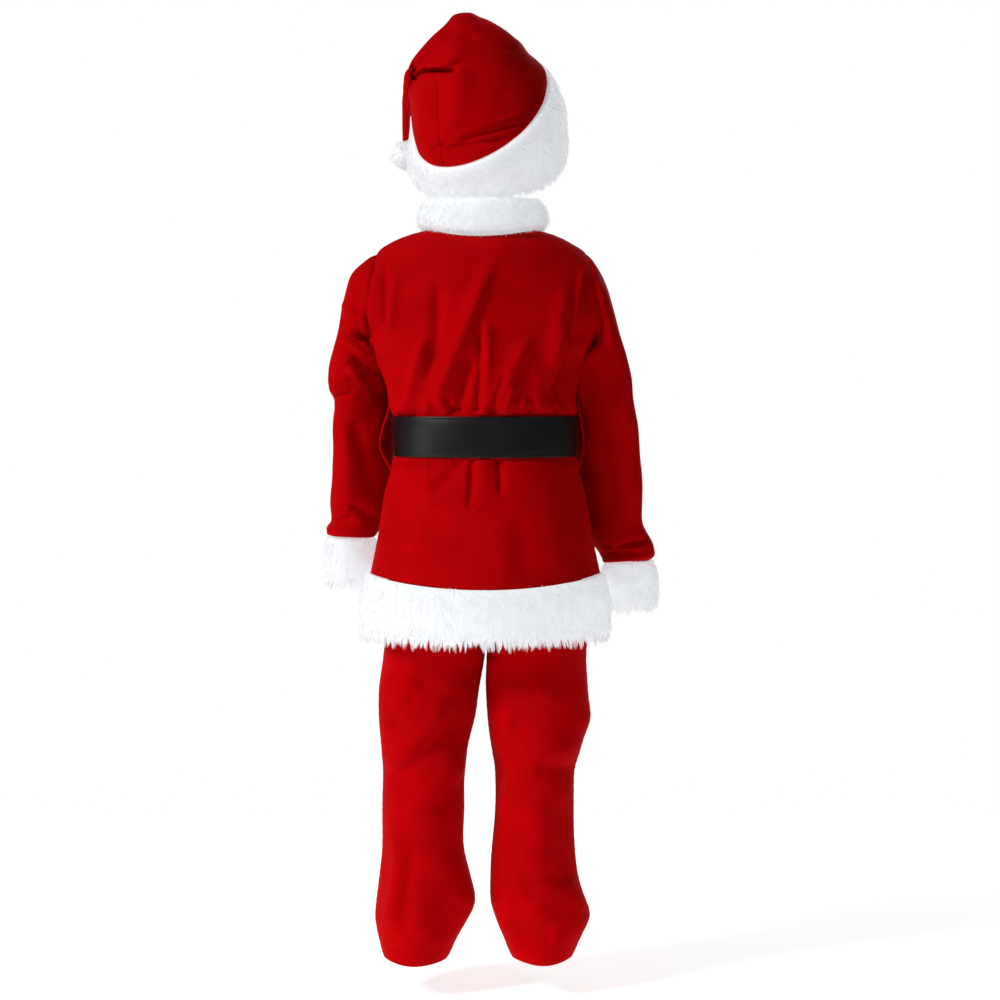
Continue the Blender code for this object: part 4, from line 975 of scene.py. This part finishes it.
def make_hat_fur():
    share = np.arange(360) / 360
    edge = hat_surface(0.0, share * 360)
    low = section(np.vstack((BRIM_LOW,) * 3), len(BRIM_LOW) * (1 + share))
    down = unit(low - edge)
    make_band("hat_brim_fur", edge + down * 2 * REST, low, loop_outward(edge, down, True), True)

    turn = np.linspace(0, 2 * math.pi, 81)[None, :]
    tilt = np.linspace(0.02, math.pi - 0.02, 40)[:, None]
    normals = stacked(np.sin(tilt) * np.cos(turn), np.sin(tilt) * np.sin(turn), np.cos(tilt))
    radius = POMPOM_RADIUS * (0.62 + uneven(normals * 10, 6, 0.12, 41))
    radius[:, -1] = radius[:, 0]
    points = np.array(POMPOM_CENTRE) + normals * radius[..., None]
    ball = add_piece("hat_pompom", points[:, :-1], normals[:, :-1], True, "fur", "core")
    lay = unit(np.cross(normals, np.array((0.3, 1.0, 0.2))))
    make_pile("hat_pompom", points, normals, lay, 1.15, POMPOM_PILE)


# ---- belt, loops, waistband ----
def belt_path():
    """Inner line of the belt and its outward directions, from the buckle's bar to the free end."""
    shares = np.linspace(0, 1, 41)
    loop = np.concatenate((jacket_surface(-1, WAIST, -shares),
                           jacket_surface(1, WAIST, shares[1:] - 1),
                           jacket_surface(1, WAIST, shares[1:]),
                           jacket_surface(-1, WAIST, 1 - shares[1:])))
    lengths = lengths_along(loop, 0)
    total = lengths[-1]

    def at(distance):
        place = np.mod(distance, total)
        return np.stack([np.interp(place, lengths, loop[:, axis]) for axis in range(3)], -1)
    stations = np.linspace(-6, total + LAP, 420)
    ahead = at(stations + 7) - at(stations - 7)
    here = (at(stations) + at(stations - 3) + at(stations + 3)) / 3
    across = unit(stacked(ahead[:, 1], -ahead[:, 0], 0.0))
    across *= np.sign((across * here * (1, 1, 0)).sum(axis=-1, keepdims=True))
    rise = LIFT * ease((stations - total + LIFT_RUN) / (LIFT_RUN - LIFT_END))
    rise -= (LIFT - BELT_WALL - REST) * ease((stations - total - FALL_START) / FALL_RUN)
    return here + across * (BELT_GAP + 0.35 + rise)[:, None], across, stations, total


def strip_cut(half, middle, back):
    """Cut across a strip: one half of its face, the face's middle, the other half, the back."""
    return np.array((*half, middle, *((-across, depth) for across, depth in half[::-1]), *back))


def make_belt():
    line, out, stations, total = belt_path()
    strap = strip_cut(((25, 1.2), (24.7, 2.0), (24, 2.35), (22.6, 2.4), (21.9, 2.15), (21.2, 2.4),
                       (12, 2.4)), (0, 2.4), ((-24.6, 0.3), (-24, 0), (0, 0), (24, 0), (24.6, 0.3)))
    line[:, 2] = BELT_Z
    wave = uneven(line, 60, 0.5, 53) * ease((total - LIFT_RUN - stations) / 30)
    wave += 0.9 * bell(line[:, 0], -87, 1.6) * (line[:, 1] > 0)
    points = (line[:, None] + UP * strap[None, :, :1]
              + out[:, None] * (strap[None, :, 1:] + wave[:, None, None]))

    def end(at, share):
        return points[at].mean(axis=1, keepdims=True) + from_middle(points[at]) * share
    first, last = slice(None, 1), slice(-1, None)
    points = np.concatenate((end(first, 0.02), end(first, 0.97), points,
                             end(last, 0.97), end(last, 0.02)))
    item = add_piece("belt", points, unit(from_middle(points)), True, "belt", "strap")
    item.data.set_sharp_from_angle(angle=math.radians(40))


def make_loop(name, side, share):
    half = LOOP_WIDTH / 2
    cut = strip_cut(((half, 1.6), (half - 0.5, 2.8), (half - 1.6, 3.2), (half - 2.3, 2.6),
                     (half - 3.0, 3.2)), (0, 3.4), ((0.4 - half, 0.2), (0, 0.0), (half - 0.4, 0.2)))
    belt_out = section(JACKET, WAIST)[4] + BELT_GAP + BELT_WALL
    path = []
    for stand_off, z in LOOP_RUN:
        row = np.interp(-z, -JACKET[:, 5], np.arange(len(JACKET)))
        ground = abs(float(jacket_surface(1, row, side)[0]))
        reach = max(ground + REST / 2, belt_out + REST) if stand_off < 6 else belt_out
        path.append((reach + stand_off * share, z))
    path = section(np.array(path), np.linspace(0, len(path) - 1, 60))
    run = unit(np.gradient(path, axis=0))
    points = stacked(side * (path[:, None, 0] - run[:, None, 1] * cut[None, :, 1]),
                     cut[None, :, 0],
                     path[:, None, 1] + run[:, None, 0] * cut[None, :, 1])
    points += uneven(points, 9, 0.4, 61)[..., None] * np.array((side, 0, 0))
    item = add_piece("belt_loop_" + name, points, unit(from_middle(points)), ring=True)


def make_waistband():
    ring = fine_loop(WAIST)[:-1]
    out = loop_outward(ring, UP, True)
    rows = np.linspace(0, 1, 20)[:, None]
    gather = lengths_along(closed(ring, True, 0), 0)[:-1]
    pleat = 0.45 * np.sin(gather * 1.9 + 1.2 * np.sin(gather * 0.23))
    channel = -0.5 * (bell(rows, 0.12, 0.03) + bell(rows, 0.88, 0.03))
    bulge = 0.9 * np.sin(math.pi * rows) ** 0.3
    depth = 1.6 + REST + 1.3 - bulge - pleat[None, :] - channel
    points = ring[None] - out[None] * depth[..., None]
    points[..., 2] = HIPS[0][3] + REST + ELASTIC_HEIGHT * (1 - rows)
    points = np.concatenate((points[:1] - out * 1.5, points, points[-1:] - out * 1.5))
    item = add_piece("waistband", points, np.broadcast_to(out, points.shape), True, "elastic")


set_stage()
make_jacket("jacket_back", 1, -1, 1, BACK_CREASES)
make_jacket("jacket_front_left", -1, 0, 1, FRONT_CREASES)
make_jacket("jacket_front_right", -1, -1, 0, FRONT_CREASES)
for name, side in SIDES.items():
    make_sleeve(name, side)
make_hat("hat_right", HAT_SEAM - 180)
make_hat("hat_left", HAT_SEAM)
for name in SIDES:
    make_leg_panel(name, 1, "back", 2.5, LEG_CREASES[name])
    make_leg_panel(name, -1, "front", 3.2, LEG_FRONT_CREASES[name])
make_jacket_fur()
make_hat_fur()
make_belt()
for name, side in SIDES.items():
    make_loop(name, side, LOOP_SHARES[name])
make_waistband()
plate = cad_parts["buckle"].data
plate.materials.clear()
plate.materials.append(buckle_material())
